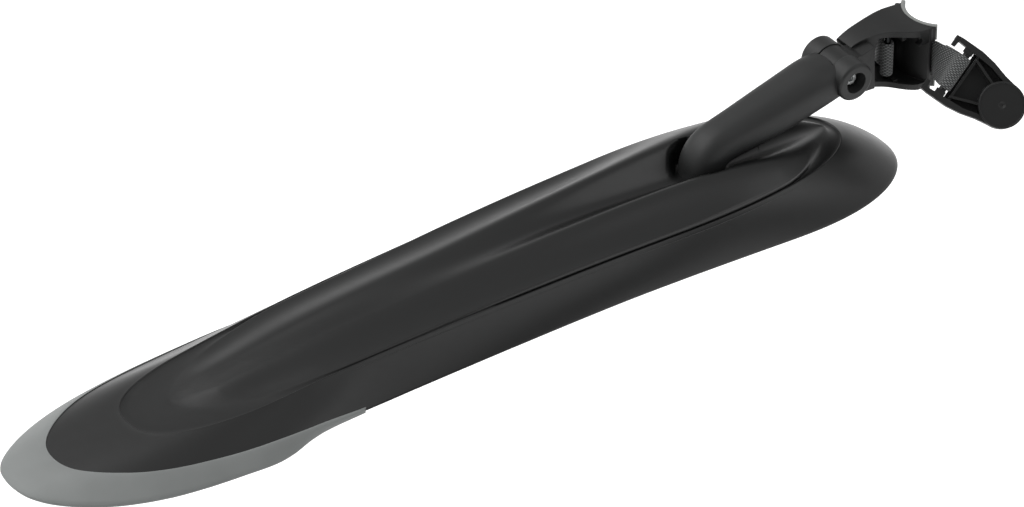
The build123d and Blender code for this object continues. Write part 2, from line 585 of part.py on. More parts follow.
def make_lever():
    hw = LEVER_HALF_WIDTH
    low = -LEVER_DEPTH + 2.5
    top = 2.5
    reach = LEVER_DISC_REACH
    back = -LEVER_TAIL
    inside = hw - LEVER_WALL
    outer = [(back, hw - 0.4), (back + 4, hw), (6, hw), (14, hw - 1.2), (22, hw - 3.4), (reach, LEVER_DISC_RADIUS)]
    inner = [(reach, LEVER_DISC_RADIUS - LEVER_WALL), (22, inside - 3.0), (14, inside - 0.8), (back, inside + 0.8)]
    pieces = []
    for sign in (1, -1):
        pieces.append(plan_prism([(x, sign * y) for x, y in outer + inner], low, top))
        claw = [(back, inside + 1), (back, inside - 2.8), (back + 2.2, inside - 2.8), (back + 2.6, inside + 1)]
        pieces.append(plan_prism([(x, sign * y) for x, y in claw], -2.5, top))
        hold = [(-2.6, inside + 1), (-2.6, inside - 2.2), (2.4, inside - 2.2), (2.4, inside + 1)]
        pieces.append(plan_prism([(x, sign * y) for x, y in hold], -2.9, 2.2))
        rib = [(5.2, inside - 1.2), (5.2, inside - 2.6), (19, 5.4), (19, 6.8)]
        pieces.append(plan_prism([(x, sign * y) for x, y in rib], low, 1.4))
    floor = [(4.8, hw - 1.6), (14, hw - 2.4), (22, hw - 4.6), (reach, LEVER_DISC_RADIUS - 1)]
    floor = floor + [(x, -y) for x, y in floor[::-1]]
    pieces.append(plan_prism(floor, low, low + 1.8))
    pieces.append(block(4.8, 6.2, -hw + 1.5, hw - 1.5, low, 0.8))
    pieces.append(Rot(90, 0, 0) * Cylinder(CROSSBAR_RADIUS, 2 * hw - LEVER_WALL))
    disc = Pos(reach, 0, (low + 4.0) / 2) * Cylinder(LEVER_DISC_RADIUS, 4.0 - low)
    disc = fillet(disc.edges(), 0.6)
    pieces.append(disc)
    lever = whole(pieces)
    lever = lever - Pos(reach, 0, 4.0) * Cylinder(LEVER_DISC_RADIUS - 0.9, 0.8)
    lever = lever - Pos(reach, 0, 3.6) * Cone(0.6, 3.0, 1.6)
    return lever_plane() * lever


skirt = make_skirt()
nodes = {
    "blade": make_blade(skirt),
    "tail_edge": make_tail_edge(skirt),
    "stay_arm": make_arm(),
    "foot_screws": make_foot_screws(),
    "hinge_bolt": make_hinge_bolt(),
    "hinge_nut": make_hinge_nut(),
    "seat_post_bracket": make_bracket(),
    "saddle_pads": make_saddle_pads(),
    "strap_anchor_pin": make_anchor_pin(),
    "strap": make_strap(),
    "clamp_lever": make_lever(),
}

os.makedirs("parts", exist_ok=True)
for name, shape in nodes.items():
    shape.label = name
    export_step(shape, "parts/" + name + ".step")
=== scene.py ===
from math import acos, cos, hypot, pi, radians, sin, sqrt

import bmesh
import bpy
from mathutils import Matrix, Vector


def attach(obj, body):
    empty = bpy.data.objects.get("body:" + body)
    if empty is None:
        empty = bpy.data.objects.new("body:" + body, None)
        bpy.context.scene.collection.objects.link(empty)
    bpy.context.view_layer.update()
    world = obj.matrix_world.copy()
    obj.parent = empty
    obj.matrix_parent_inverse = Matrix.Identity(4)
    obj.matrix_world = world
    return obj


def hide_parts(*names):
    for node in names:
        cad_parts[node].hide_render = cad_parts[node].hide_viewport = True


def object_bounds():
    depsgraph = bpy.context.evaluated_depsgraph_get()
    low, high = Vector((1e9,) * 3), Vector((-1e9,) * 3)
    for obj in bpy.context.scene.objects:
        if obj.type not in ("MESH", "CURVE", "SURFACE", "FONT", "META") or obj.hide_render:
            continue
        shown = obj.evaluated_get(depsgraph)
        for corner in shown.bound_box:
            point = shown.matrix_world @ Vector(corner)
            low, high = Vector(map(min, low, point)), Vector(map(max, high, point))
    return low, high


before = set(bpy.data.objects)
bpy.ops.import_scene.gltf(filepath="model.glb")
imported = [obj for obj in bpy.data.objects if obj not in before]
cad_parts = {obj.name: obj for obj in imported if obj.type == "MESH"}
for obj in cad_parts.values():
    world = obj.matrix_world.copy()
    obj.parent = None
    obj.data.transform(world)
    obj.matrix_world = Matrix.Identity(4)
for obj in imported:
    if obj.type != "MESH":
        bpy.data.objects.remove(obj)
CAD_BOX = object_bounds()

bl_info = {
    "name": "Clip-on mudguard looks",
    "version": (1, 0, 0),
    "blender": (4, 5, 0),
    "location": "View3D > Sidebar > Mudguard",
    "description": "Builds the visible surfaces of a clip-on rear mudguard around its packed frame",
    "category": "Object",
}

MM = 0.001

# Blade, in millimetres
LENGTH, HALF_WIDTH, CROWN = 518.0, 47.0, 38.0
REACH, DROP = 552.0, 48.5
# Stations, in percent of the length, where the rim, the step and the panel start and end, and where the soft edge ends
RIM_TAIL, RIM_FRONT = 3.9, 100.0
STEP_TAIL, STEP_FRONT = 12.7, 94.0
PANEL_TAIL, PANEL_FRONT = 17.3, 92.7
EDGE_END = 32.8
# Rounded ends of the ovals: station of the tail, its run and its power, then the same for the front
RIM_OVAL = (RIM_TAIL, 25.1, 2.1, RIM_FRONT, 18.3, 2.4)
STEP_OVAL = (STEP_TAIL, 14.5, 2.7, STEP_FRONT, 24.0, 2.1)
PANEL_OVAL = (PANEL_TAIL, 17.0, 2.0, PANEL_FRONT, 9.5, 2.0)
# Share of the half width that the step takes at one station, and how fast it grows
STEP_SHARE, STEP_SHARE_AT, STEP_GROWTH = 0.666, 30.9, 0.00358
# Stations where the panel's edge leaves the step, towards the tail and towards the front
PANEL_BEND_TAIL, PANEL_BEND_FRONT = 33.0, 84.0
# Lines of the blade: station, then level in percent of the crown height. They follow the part's source, but as in the
# photograph the tail's rim is higher and the crests are lower and closer.
RIM_LINE = [(3.9, 27.2), (5.5, 27.2), (7.7, 26.4), (9.6, 25.4), (11.6, 24.2), (13.6, 22.8), (16, 20.8), (18.4, 19),
            (21, 17.5), (23.6, 16.4), (26.3, 15.6), (29, 14.9), (32.8, 14.2), (36, 14.6), (38.6, 15.3), (50.2, 16.6),
            (61.8, 15.8), (69.5, 12.1), (77.2, 6.6), (88.8, -2.6), (94.6, -5.26), (100, -5.26)]
STEP_LINE = [(12.7, 38.4), (19.3, 42.6), (23.2, 45.3), (27, 49.7), (30.9, 54.5), (38.6, 59.5), (46.3, 62.1),
             (54.1, 63.7), (61.8, 64.7), (69.5, 63.9), (77.2, 62.1), (84.9, 58.4), (90.7, 53.2), (94, 50)]
CREST_LINE = [(15, 36), (17.3, 41.3), (18.4, 43.6), (20, 47.4), (22.4, 52.6), (27, 60.8), (32.8, 68.8),
              (38.6, 74), (44.8, 78), (50.2, 81.4), (57.9, 87.4), (61.8, 89.8), (67.6, 92.8), (73.9, 93.6),
              (80.1, 90), (84.9, 82), (88.8, 70.4), (91, 62.4), (92.7, 57), (95, 52)]
# Depth of the hollow under the crests, in percent of the crown height
HOLLOW_LINE = [(12.7, 0), (20, 0), (27, -1), (32.8, -1.4), (38.6, -0.6), (44.8, 1), (50.2, 4),
               (57.9, 10.6), (61.8, 15.2), (67.6, 23), (73.9, 30.4), (77.2, 31.6), (80.1, 29.6), (84.9, 20),
               (88.8, 8.8), (91.7, 1.5), (94, 0)]
# Rise from the tray to the edge of the panel, in millimetres
RISER_LINE = [(17.3, 0.1), (30, 0.4), (41, 1), (55, 2.2), (70, 2.4), (92.7, 2.2)]
# Half width between the crests, in percent of the blade's
CREST_PLAN = [(15, 3), (17.4, 4), (19.2, 7), (21.2, 10), (27, 13.3), (32.8, 16.4), (38.6, 18.8),
              (44.8, 21), (50.2, 23), (57.9, 26), (61.8, 27.8), (67.6, 30.6), (73.9, 34.4), (80.1, 39),
              (84.9, 42), (87.8, 40), (89.8, 31.9), (91.7, 19), (94, 6)]
# Soft edge: station of the rim it hangs on, station and half width of its outer line, level, share of the skirt
EDGE_LINE = [(3.9, 0, 0, 17, 0.095), (4.6, 0.5, 26, 16.4, 0.088), (5.8, 1.9, 43.5, 13, 0.087),
             (7.7, 4.5, 62.5, 8.8, 0.07), (10.4, 7.7, 78, 5.6, 0.032), (13.5, 11.6, 90, 3.4, 0.022),
             (16.4, 15.4, 96.6, 2.4, 0.045), (19.3, 19.3, 99.6, 1, 0.06), (22.2, 22.6, 100, -1.2, 0.08),
             (24.3, 24.7, 98, 0.6, 0.088), (26.4, 26.8, 94.6, 6.6, 0.092), (28.6, 28.8, 93.4, 10.4, 0.09),
             (32.8, 32.8, 93.4, 12.6, 0.06)]
# Share of the way from tail to front, and how far the skirt swells there, in millimetres
SKIRT_BULGE = [(0, 0), (0.1, 0), (0.165, -0.9), (0.21, -0.7), (0.26, 0.2), (0.3, 0.3), (0.5, 1), (0.8, 1), (1, 1.4)]
# Soft edge: how far it stands off the skirt and the rim, its nose as steps out and down, its least and added thickness
EDGE_HALF_WIDTH, EDGE_ROUND = 50.4, 0.65
EDGE_PROUD, EDGE_SWELL = 0.4, 1.0
EDGE_NOSE = ((0.45, 0.35), (0.55, 1.0), (0.2, 1.6))
EDGE_THIN, EDGE_MORE = 0.42, 1.38
EDGE_COUNT, EDGE_ACROSS = 150, 14
# Lip of the step: steps inward and up, the width of tray that it takes whole, and where the tray starts
PANEL_INSET, LIP = 1.2, 0.6
LIP_STEPS = ((0.06, 0.06), (0.3, 0.08), (0.52, -0.08), (0.72, -0.42))
LIP_WIDTH, LIP_END = 1.6, 0.8
SKIRT_TOP = 0.985
# Changes along the panel, as start and run in stations: the crests part, the fall beside them and the riser turn soft
# towards both ends, and the crests have a brim between the ends
CREST_PART = (16.5, 11)
FALL_SOFT_TAIL, FALL_SOFT_FRONT = (52, -24), (78, 10)
BRIM_RISE, BRIM_END = (18, 8), (82, -20)
RISER_SOFT_TAIL, RISER_SOFT_FRONT = (54, -26), (85, 6.5)
CREST_MOST, FALL_EASE, FALL_SOFTER, BRIM_POWER = 0.6, 0.34, 0.46, 2.8
# Rise from the tray to the panel, inward in millimetres and share of the height: crisp in the middle, soft at the ends
CRISP_RISER = ((0.04, 0.3), (0.1, 0.7), (0.2, 0.92), (0.3, 0.97))
SOFT_RISER = (0.9, 1.8, 2.8, 3.8)
PANEL_START, PANEL_START_SOFT = 0.45, 4.4
# Middle station of the panel, and the share of its length that the rows close on
SPINE_MIDDLE, SPINE_SHARE = 53.35, 0.8
BLADE_COUNT, SKIRT_ROWS, TRAY_ROWS, PANEL_ROWS = 480, 18, 6, 44
# Seat of the arm's foot, and the thick oval below it with two screw seats
FOOT_X, FOOT_LEVEL = -148.0, 23.4
FOOT_PAD_LENGTH, FOOT_PAD_WIDTH, FOOT_PAD_DEPTH = 12.5, 13.5, 4.5
FOOT_BLEND, FOOT_PAD_SUNK = 0.3, 1.4
FOOT_PAD_EDGE = ((0.6, 0.0), (0.18, 0.18), (0.0, 0.6))
SCREW_SPREAD, SCREW_SEAT_RADIUS, SCREW_SEAT_DEPTH, SEAT_CHAMFER = 10.0, 4.2, 3.0, 0.2
WALL, BLADE_ROUND = 2.2, 0.35

# Clamp, in millimetres and degrees, as in the part's source but for the ends of the pads
POST_RADIUS, PAD, SADDLE_WALL = 17.45, 2.2, 3.0
CLAMP_HALF = 18.0
STRAP_WIDTH, STRAP_THICK = 19.0, 1.6
TIP_ANGLE, NEAR_WRAP, FAR_WRAP = 38.0, 44.0, 128.0
PAD_ANGLE, PAD_LIP, PAD_ROUND, PAD_STEPS = 48.0, 0.7, 0.7, 48
PAD_OFF_WALL, PAD_OFF_STRAP = 0.02, 0.6
SADDLE = POST_RADIUS + PAD
STRAP_OFF_WALL, ANCHOR_BACK = 0.3, 11.0
STRAP_RADIUS = SADDLE - STRAP_OFF_WALL - STRAP_THICK / 2
TIP_RADIUS = SADDLE + SADDLE_WALL / 2
WRAP = TIP_RADIUS - STRAP_RADIUS
ANCHOR = Vector((-(SADDLE + SADDLE_WALL + ANCHOR_BACK), -1.0))
PIN_RADIUS, PIN_PLAY = 1.6, 0.05
PIN_TURN_START, PIN_TURN = 30, 330
SLOT_Y, SLOT_PATH = 14.5, ((2.2, -3.0), (6.5, 0.9))
SELVEDGE = 0.7
# Sewn end: gap between its layers, and where they part and meet
LAYER_GAP, THROAT_BACK, SPLIT_BACK, SPLIT_START = 0.03, 6.0, 13.0, 2.0
SEWN_POINTS = 8
STITCH_ROWS, STITCH_STAND, THREAD_RADIUS = (-7.2, -2.4, 2.4, 7.2), 0.84, 0.16
LEVER_PLACE = Vector((-16.36, -33.52, 2.6))
LEVER_ALONG = Vector((0.4764, -0.7464, -0.4665)).normalized()
LEVER_FACE = Vector((-0.464, -0.663, 0.588)).normalized()
BAR_RADIUS, BAR_PLAY = 1.9, 0.08
BAR_LOOP = BAR_RADIUS + BAR_PLAY + STRAP_THICK / 2
# Web behind the strap's loop, from the lever's crossbar
WEB_ALONG, WEB_FACE = 4.1, -4.85
WEB_HALF_LONG, WEB_HALF_DEEP, WEB_ROUND = 1.15, 0.7, 0.5
WEB_ACROSS = (-13.3, -13.0, -12.0, -8.0, 0.0, 8.0, 12.0, 13.0, 13.3)
WEB_FLARE, WEB_FLARE_FROM, WEB_FLARE_RUN = 0.25, 8.0, 5.0

# Studio: glow of the floor, sky behind the part, and what a gloss shows of the room
FLOOR_HALF, FLOOR_GLOW, SEEN_SKY = 6.0, 0.62, 1.2
ROOM_FAR_SIDE = (0.35, 0.94, 0.0)
# Slopes of the room's light, as two directions and two levels: paler on the far side, pale low down, but only on the
# far side, and paler overhead
ROOM_SLOPES = ((-0.85, -0.1, 0.24, 0.46), (0.55, 0.18, 0.0, 0.3), (-0.2, 0.4, 0.0, 1.0), (0.76, 0.92, 1.0, 1.5))
# Lights: place, aim and size, in metres
KEY_SOFTBOX = ((-0.95, 0.75, 1.25), (-0.3, 0, -0.03), (1.5, 1.0))
FRONT_SOFTBOX = ((0.75, -1.0, 1.0), (-0.25, 0, -0.03), (1.2, 1.2))

# Camera, found from the photograph
VIEW_AZIMUTH, VIEW_ELEVATION = -35.0, 36.0
VIEW_DISTANCE = 3.333
VIEW_PIVOT = Vector((-0.292, 0.0, -0.0485))
IMAGE_WIDTH, IMAGE_HEIGHT = 1024, 507
PIVOT_PIXEL = (463.3, 309.0)
PIXELS_PER_MM, SENSOR_MM = 2.05, 36.0


def along(table, s):
    """Height of a smooth line through a table of stations."""
    n = len(table)
    s = min(max(s, table[0][0]), table[-1][0])
    i = 0
    while i < n - 2 and s > table[i + 1][0]:
        i += 1

    def slope(k):
        lo, hi = max(k - 1, 0), min(k + 1, n - 1)
        return (table[hi][1] - table[lo][1]) / (table[hi][0] - table[lo][0])

    h = table[i + 1][0] - table[i][0]
    t = (s - table[i][0]) / h
    ends = (1 + 2 * t) * (1 - t) ** 2 * table[i][1] + t * t * (3 - 2 * t) * table[i + 1][1]
    return ends + h * (t * (1 - t) ** 2 * slope(i) + t * t * (t - 1) * slope(i + 1))


def column(table, k):
    """One line out of a table of several."""
    return [(row[0], row[k]) for row in table]


def smooth_step(t):
    """Smooth rise from 0 to 1."""
    t = min(1.0, max(0.0, t))
    return t * t * (3 - 2 * t)


def ramp(s, start, run):
    """Smooth rise over a run of stations, towards the tail where the run is negative."""
    return smooth_step((s - start) / run)


def edge_share(s):
    """Share of the soft edge's length at a station of the rim, eased for its round tail."""
    return sqrt(max(0.0, (s - RIM_TAIL) / (EDGE_END - RIM_TAIL)))


EDGE_WIDE = [(edge_share(row[0]), row[2]) for row in EDGE_LINE]


def rounded(s, tail, tail_run, tail_power, front, front_run, front_power):
    """Share of the full width near the rounded ends of an oval."""
    f = 1.0
    if s < tail + tail_run:
        q = min(1.0, (tail + tail_run - s) / tail_run)
        f *= (1 - q ** tail_power) ** (1 / tail_power)
    if s > front - front_run:
        q = min(1.0, (s - front + front_run) / front_run)
        f *= (1 - q ** front_power) ** (1 / front_power)
    return f


def rim_half(s):
    """Half width of the rim in millimetres."""
    return HALF_WIDTH * rounded(s, *RIM_OVAL)


def step_half(s):
    """Half width of the step in millimetres."""
    spread = STEP_SHARE + (s - STEP_SHARE_AT) * STEP_GROWTH
    return HALF_WIDTH * spread * rounded(s, *STEP_OVAL)


def panel_half(s):
    """Half width of the panel in millimetres."""
    return max(0.0, step_half(s) - PANEL_INSET) * rounded(s, *PANEL_OVAL)


def panel_station(s):
    """Station on the edge of the panel that faces a station on the step."""
    for bend, step_end, panel_end in ((PANEL_BEND_TAIL, STEP_TAIL, PANEL_TAIL),
                                      (PANEL_BEND_FRONT, STEP_FRONT, PANEL_FRONT)):
        u = (s - bend) / (step_end - bend)
        if u > 0:
            pace = round((step_end - bend) / (panel_end - bend), 3)
            return bend + (panel_end - bend) * (pace * u - (pace - 1) * u * u)
    return s


def station_at(x):
    """Station of a place along the blade in millimetres."""
    return (x + REACH) * 100 / LENGTH


def height(level):
    """Height in millimetres of a level in percent."""
    return level * CROWN / 100 - DROP


def place(s, y, level):
    """Point in millimetres from a station, a side distance and a level in percent."""
    return Vector((s * LENGTH / 100 - REACH, y, height(level)))


def panel_level(s, y):
    """Level of the panel inside the step, in percent."""
    half = panel_half(s)
    crest = min(along(CREST_PLAN, s) * HALF_WIDTH / 100, CREST_MOST * half * ramp(s, *CREST_PART))
    edge = along(STEP_LINE, s) + along(RISER_LINE, s) * 100 / CROWN
    top = along(CREST_LINE, s)
    if y <= crest:
        return top - along(HOLLOW_LINE, s) * (1 - (y / max(crest, 0.01)) ** 2) ** 2
    q = min(1.0, (y - crest) / max(half - crest, 0.3))
    ease = FALL_EASE + FALL_SOFTER * max(ramp(s, *FALL_SOFT_TAIL), ramp(s, *FALL_SOFT_FRONT))
    fall = (hypot(q, ease) - ease) / (hypot(1, ease) - ease)
    brim = ramp(s, *BRIM_RISE) * ramp(s, *BRIM_END)
    fall += brim * (1 - (1 - fall) ** BRIM_POWER - fall)
    return top + (edge - top) * fall


def round_share(phi):
    """Share of the way from tail to front at one angle round the blade, and the side it lies on."""
    return (1 - cos(phi)) / 2, -1.0 if sin(phi) >= 0 else 1.0


def rim_station(t):
    return RIM_TAIL + t * (RIM_FRONT - RIM_TAIL)


def step_station(t):
    return STEP_TAIL + t * (STEP_FRONT - STEP_TAIL)


def skirt_frame(phi):
    """Rim, step, outward normal and bulge at one angle."""
    t, side = round_share(phi)
    sr, ss = rim_station(t), step_station(t)
    rim = place(sr, side * rim_half(sr), along(RIM_LINE, sr))
    step = place(ss, side * step_half(ss), along(STEP_LINE, ss))
    run = step - rim
    flat = hypot(run.x, run.y)
    out = Vector((-run.x / flat * run.z, -run.y / flat * run.z, flat)).normalized()
    return rim, step, out, along(SKIRT_BULGE, t)


def on_skirt(rim, step, out, bulge, rho, lift=0.0):
    """Point on the skirt at a share of the way up, lifted off it in millimetres."""
    return rim + (step - rim) * rho + out * (bulge * 4 * rho * (1 - rho) + lift)


def curve_point(a, b, c, t):
    """Point on the curve that leaves one point towards a second and ends in a third."""
    return a * (1 - t) ** 2 + b * (2 * t * (1 - t)) + c * t * t


def rounded_box(left, right, low, high, r):
    """Outline of a rectangle with rounded corners."""
    run = []
    for x, z, start in ((right - r, high - r, 0), (left + r, high - r, 90),
                        (left + r, low + r, 180), (right - r, low + r, 270)):
        for k in range(5):
            a = radians(start + 22.5 * k)
            run.append((x + r * cos(a), z + r * sin(a)))
    return run


def new_object(name, mesh):
    """Object in the scene with a mesh or other data."""
    obj = bpy.data.objects.new(name, mesh)
    bpy.context.scene.collection.objects.link(obj)
    return obj


def tube_mesh(name, rows):
    """Mesh of quads through rows of points in millimetres, each row closed on itself."""
    mesh = bpy.data.meshes.new(name)
    wide = len(rows[0])
    faces = []
    for i in range(len(rows) - 1):
        for j in range(wide):
            k = (j + 1) % wide
            faces.append((i * wide + j, i * wide + k, (i + 1) * wide + k, (i + 1) * wide + j))
    mesh.from_pydata([tuple(p * MM) for row in rows for p in row], [], faces)
    return mesh


def close_ends(mesh, rows):
    """Closes the first and the last row of a tube."""
    work = bmesh.new()
    work.from_mesh(mesh)
    work.verts.ensure_lookup_table()
    wide = len(rows[0])
    work.faces.new([work.verts[j] for j in range(wide)])
    work.faces.new([work.verts[(len(rows) - 1) * wide + j] for j in reversed(range(wide))])
    work.to_mesh(mesh)
    work.free()


def tidy_mesh(mesh, merge=0.00002, sharp_degrees=48):
    """Merged, consistently turned and smooth, with sharp edges kept."""
    work = bmesh.new()
    work.from_mesh(mesh)
    bmesh.ops.remove_doubles(work, verts=work.verts, dist=merge)
    bmesh.ops.recalc_face_normals(work, faces=work.faces)
    work.to_mesh(mesh)
    work.free()
    mesh.shade_smooth()
    mesh.set_sharp_from_angle(angle=radians(sharp_degrees))


def apply_modifiers(obj):
    """Turns an object's modifiers into plain mesh."""
    bpy.context.view_layer.update()
    seen = obj.evaluated_get(bpy.context.evaluated_depsgraph_get())
    made = bpy.data.meshes.new_from_object(seen)
    old = obj.data
    obj.modifiers.clear()
    obj.data = made
    bpy.data.meshes.remove(old)
    return obj


# Materials

# Sizes of the patterns, in millimetres: slow clouds of tone, flow marks, haze, turning marks and loose fibres
CLOUD_MM, FLOW_MM, HAZE_MM, MARK_MM, FIBRE_MM = 36.0, 5.3, 2.4, 0.38, 0.26
MARK_DEPTH_MM, STEEL_EDGE_MM, WEAVE_DEPTH_MM = 0.03, 0.3, 0.22
# How sharp an edge must be to take a painted highlight, and how pale the most highlighted edge is
BEND_START, BEND_FULL, EDGE_HIGHLIGHT_MOST = 0.53, 0.62, 0.35


def hex_linear(text):
    """Linear colour from an sRGB hex colour."""
    out = []
    for i in (0, 2, 4):
        v = int(text[i:i + 2], 16) / 255
        out.append(v / 12.92 if v <= 0.04045 else ((v + 0.055) / 1.055) ** 2.4)
    return (*out, 1.0)


def shade(colour, times, more=0.0):
    """A lighter or darker shade of one linear colour."""
    return tuple(min(1.0, c * times + more) for c in colour[:3]) + (1.0,)


class Nodes:
    """A node tree with the family of its nodes. A node given as an input stands for its first output."""

    def __init__(self, tree, family="ShaderNode"):
        self.tree, self.family = tree, family

    def add(self, kind, inputs=None, **settings):
        """Adds a node with its settings and inputs."""
        node = self.tree.nodes.new(self.family + kind)
        for key, value in settings.items():
            setattr(node, key, value)
        self.feed(node, inputs or {})
        return node

    def feed(self, node, inputs):
        """Sets or links inputs of a node."""
        for key, value in inputs.items():
            if hasattr(value, "outputs"):
                value = value.outputs[0]
            if hasattr(value, "is_output"):
                self.tree.links.new(value, node.inputs[key])
            else:
                node.inputs[key].default_value = value


def start_material(name):
    """New material with its node tree and its surface shader."""
    mat = bpy.data.materials.new(name)
    mat.use_nodes = True
    return mat, Nodes(mat.node_tree), mat.node_tree.nodes["Principled BSDF"]


def moulded_plastic(name, colour, roughness, grain_mm, grain_depth_mm, edge_mm, sheen=0.0):
    """Moulded surface: fine spark-eroded grain, slow changes of tone and gloss, and a painted highlight that makes
    sharp edges pale.
    """
    mat, n, shader = start_material(name)
    where = n.add("TexCoord").outputs["Object"]
    grain = n.add("TexNoise", {"Vector": where, "Scale": 1000 / grain_mm, "Detail": 2.0, "Roughness": 0.6})
    cloud = n.add("TexNoise", {"Vector": where, "Scale": 1000 / CLOUD_MM, "Detail": 3.0, "Roughness": 0.55})
    flow = n.add("TexNoise", {"Vector": where, "Scale": 1000 / FLOW_MM, "Detail": 4.0, "Roughness": 0.6})
    tone = n.add("Mix", {0: cloud, 6: shade(colour, 0.82), 7: shade(colour, 1.2)}, data_type="RGBA")
    sharp = n.add("NewGeometry").outputs["Pointiness"]
    # Sharp edges are mixed towards a pale shade, patchy with the flow marks: a painted highlight
    sharp_edge_highlight = n.add("MapRange", {"Value": sharp, 1: BEND_START, 2: BEND_FULL, 3: 0.0, 4: EDGE_HIGHLIGHT_MOST})
    edge_highlight_share = n.add("Math", {0: sharp_edge_highlight, 1: flow}, operation="MULTIPLY")
    highlighted_tone = n.add("Mix", {0: edge_highlight_share, 6: tone.outputs[2], 7: shade(colour, 2.2, 0.01)}, data_type="RGBA")
    shine = n.add("MapRange", {"Value": flow, 1: 0.3, 2: 0.7, 3: roughness - 0.015, 4: roughness + 0.02})
    bevel = n.add("Bevel", {"Radius": edge_mm * MM}, samples=6)
    bump = n.add("Bump", {"Height": grain, "Normal": bevel, "Strength": 0.5, "Distance": grain_depth_mm * MM})
    n.feed(shader, {"Base Color": highlighted_tone.outputs[2], "Roughness": shine, "Normal": bump, "Sheen Weight": sheen})
    return mat


def plated_steel(name, colour):
    """Turned steel under a thin coat: haze in the shine, fine turning marks and rounded edges."""
    mat, n, shader = start_material(name)
    where = n.add("TexCoord").outputs["Object"]
    haze = n.add("TexNoise", {"Vector": where, "Scale": 1000 / HAZE_MM, "Detail": 4.0})
    fine = n.add("TexNoise", {"Vector": where, "Scale": 1000 / MARK_MM, "Detail": 2.0})
    tone = n.add("Mix", {0: haze, 6: shade(colour, 0.72), 7: colour}, data_type="RGBA")
    shine = n.add("MapRange", {"Value": haze, 1: 0.3, 2: 0.7, 3: 0.22, 4: 0.4})
    bevel = n.add("Bevel", {"Radius": STEEL_EDGE_MM * MM}, samples=6)
    bump = n.add("Bump", {"Height": fine, "Normal": bevel, "Strength": 0.3, "Distance": MARK_DEPTH_MM * MM})
    n.feed(shader, {"Base Color": tone.outputs[2], "Roughness": shine, "Normal": bump, "Metallic": 1.0})
    return mat


def woven_webbing(name, dark, light, yarn, pick):
    """Flat woven webbing: ribs of warp yarn that rise and dip over the weft, with stray fibres and painted shade in
    the gaps between ribs.
    """
    mat, n, shader = start_material(name)
    where = n.add("UVMap", uv_map="weave")
    turns = n.add("VectorMath", {0: where, 1: (pi / yarn, 2 * pi / pick, 0.0)}, operation="MULTIPLY")
    across, length, _ = n.add("SeparateXYZ", {0: turns}).outputs
    swing = n.add("Math", {0: across}, operation="SINE")
    rib = n.add("Math", {0: swing}, operation="ABSOLUTE")
    odd = n.add("Math", {0: across, 1: pi}, operation="SNAP")
    step = n.add("Math", {0: length, 1: odd}, operation="ADD")
    wave = n.add("Math", {0: step}, operation="SINE")
    lift = n.add("Math", {0: wave, 1: 0.32, 2: 0.68}, operation="MULTIPLY_ADD")
    relief = n.add("Math", {0: rib, 1: lift}, operation="MULTIPLY")
    fuzz = n.add("TexNoise", {"Vector": where, "Scale": 1000 / FIBRE_MM, "Detail": 3.0})
    # Low yarn takes the gap colour and raised yarn the strap's own colour: painted shade between the ribs, with a
    # little random fibre tone
    top = n.add("MapRange", {"Value": relief, 1: 0.2, 2: 0.8, 3: 0.0, 4: 0.85},
                interpolation_type="SMOOTHSTEP")
    fibre_tone_and_gap_shade = n.add("Math", {0: fuzz, 1: 0.2, 2: top}, operation="MULTIPLY_ADD")
    tone = n.add("Mix", {0: fibre_tone_and_gap_shade, 6: dark, 7: light}, data_type="RGBA")
    bump = n.add("Bump", {"Height": relief, "Strength": 0.8, "Distance": WEAVE_DEPTH_MM * MM})
    n.feed(shader, {"Base Color": tone.outputs[2], "Roughness": 0.85, "Normal": bump, "Sheen Weight": 0.25})
    return mat


MATERIALS = {}


def material(key):
    """Makes each material once."""
    if key in MATERIALS:
        return MATERIALS[key]
    look = bpy.context.scene.mudguard_looks
    if key == "blade":
        # Polypropylene from a finely grained mould: nearly black, with soft wide highlights along each ridge
        made = moulded_plastic("satin_black_polypropylene", look.blade_colour, look.blade_roughness,
                               grain_mm=0.35, grain_depth_mm=0.02, edge_mm=0.25)
    elif key == "edge":
        # Thermoplastic rubber moulded on: mid grey and dull, so its tone follows the light and not reflections
        made = moulded_plastic("soft_grey_elastomer", look.edge_colour, 0.62,
                               grain_mm=0.22, grain_depth_mm=0.015, edge_mm=0.4, sheen=0.15)
    elif key == "arm":
        # Glass-filled nylon: the fibres at the skin make it a little greyer and duller than the blade
        made = moulded_plastic("glass_filled_nylon", look.arm_colour, look.arm_roughness,
                               grain_mm=0.3, grain_depth_mm=0.025, edge_mm=0.55)
    elif key == "clamp":
        # Plain black nylon: darker than the arm, with the same fine grain
        made = moulded_plastic("black_nylon", look.clamp_colour, look.arm_roughness,
                               grain_mm=0.3, grain_depth_mm=0.025, edge_mm=0.55)
    elif key == "pad":
        # Moulded rubber: pale grey and almost without shine, seen as a thin light line round the saddle
        made = moulded_plastic("grey_rubber", look.pad_colour, 0.75,
                               grain_mm=0.4, grain_depth_mm=0.03, edge_mm=0.3, sheen=0.2)
    elif key == "strap":
        # Polyester webbing: painted shade in the gaps between greyer ribs, drawn coarser than real yarn so that they
        # show
        made = woven_webbing("woven_polyester_webbing", look.strap_shadow, look.strap_colour, look.yarn, look.pick)
    elif key == "thread":
        # Bonded polyester thread: dark and slightly furry on the webbing
        made = moulded_plastic("bonded_thread", hex_linear("3a3b3b"), 0.7,
                               grain_mm=0.2, grain_depth_mm=0.05, edge_mm=0.05, sheen=0.3)
    elif key == "dark_steel":
        # Blackened steel: a dark metal that is lost in the shade of the box
        made = plated_steel("blackened_steel", hex_linear("2b2c2d"))
    else:
        # Zinc-plated steel: bright and slightly hazy, the one light spot in the hinge
        made = plated_steel("zinc_plated_steel", hex_linear("d2d4d4"))
    MATERIALS[key] = made
    return made


def dress(obj, key):
    """Gives an object one material."""
    obj.data.materials.clear()
    obj.data.materials.append(material(key))


# Pieces

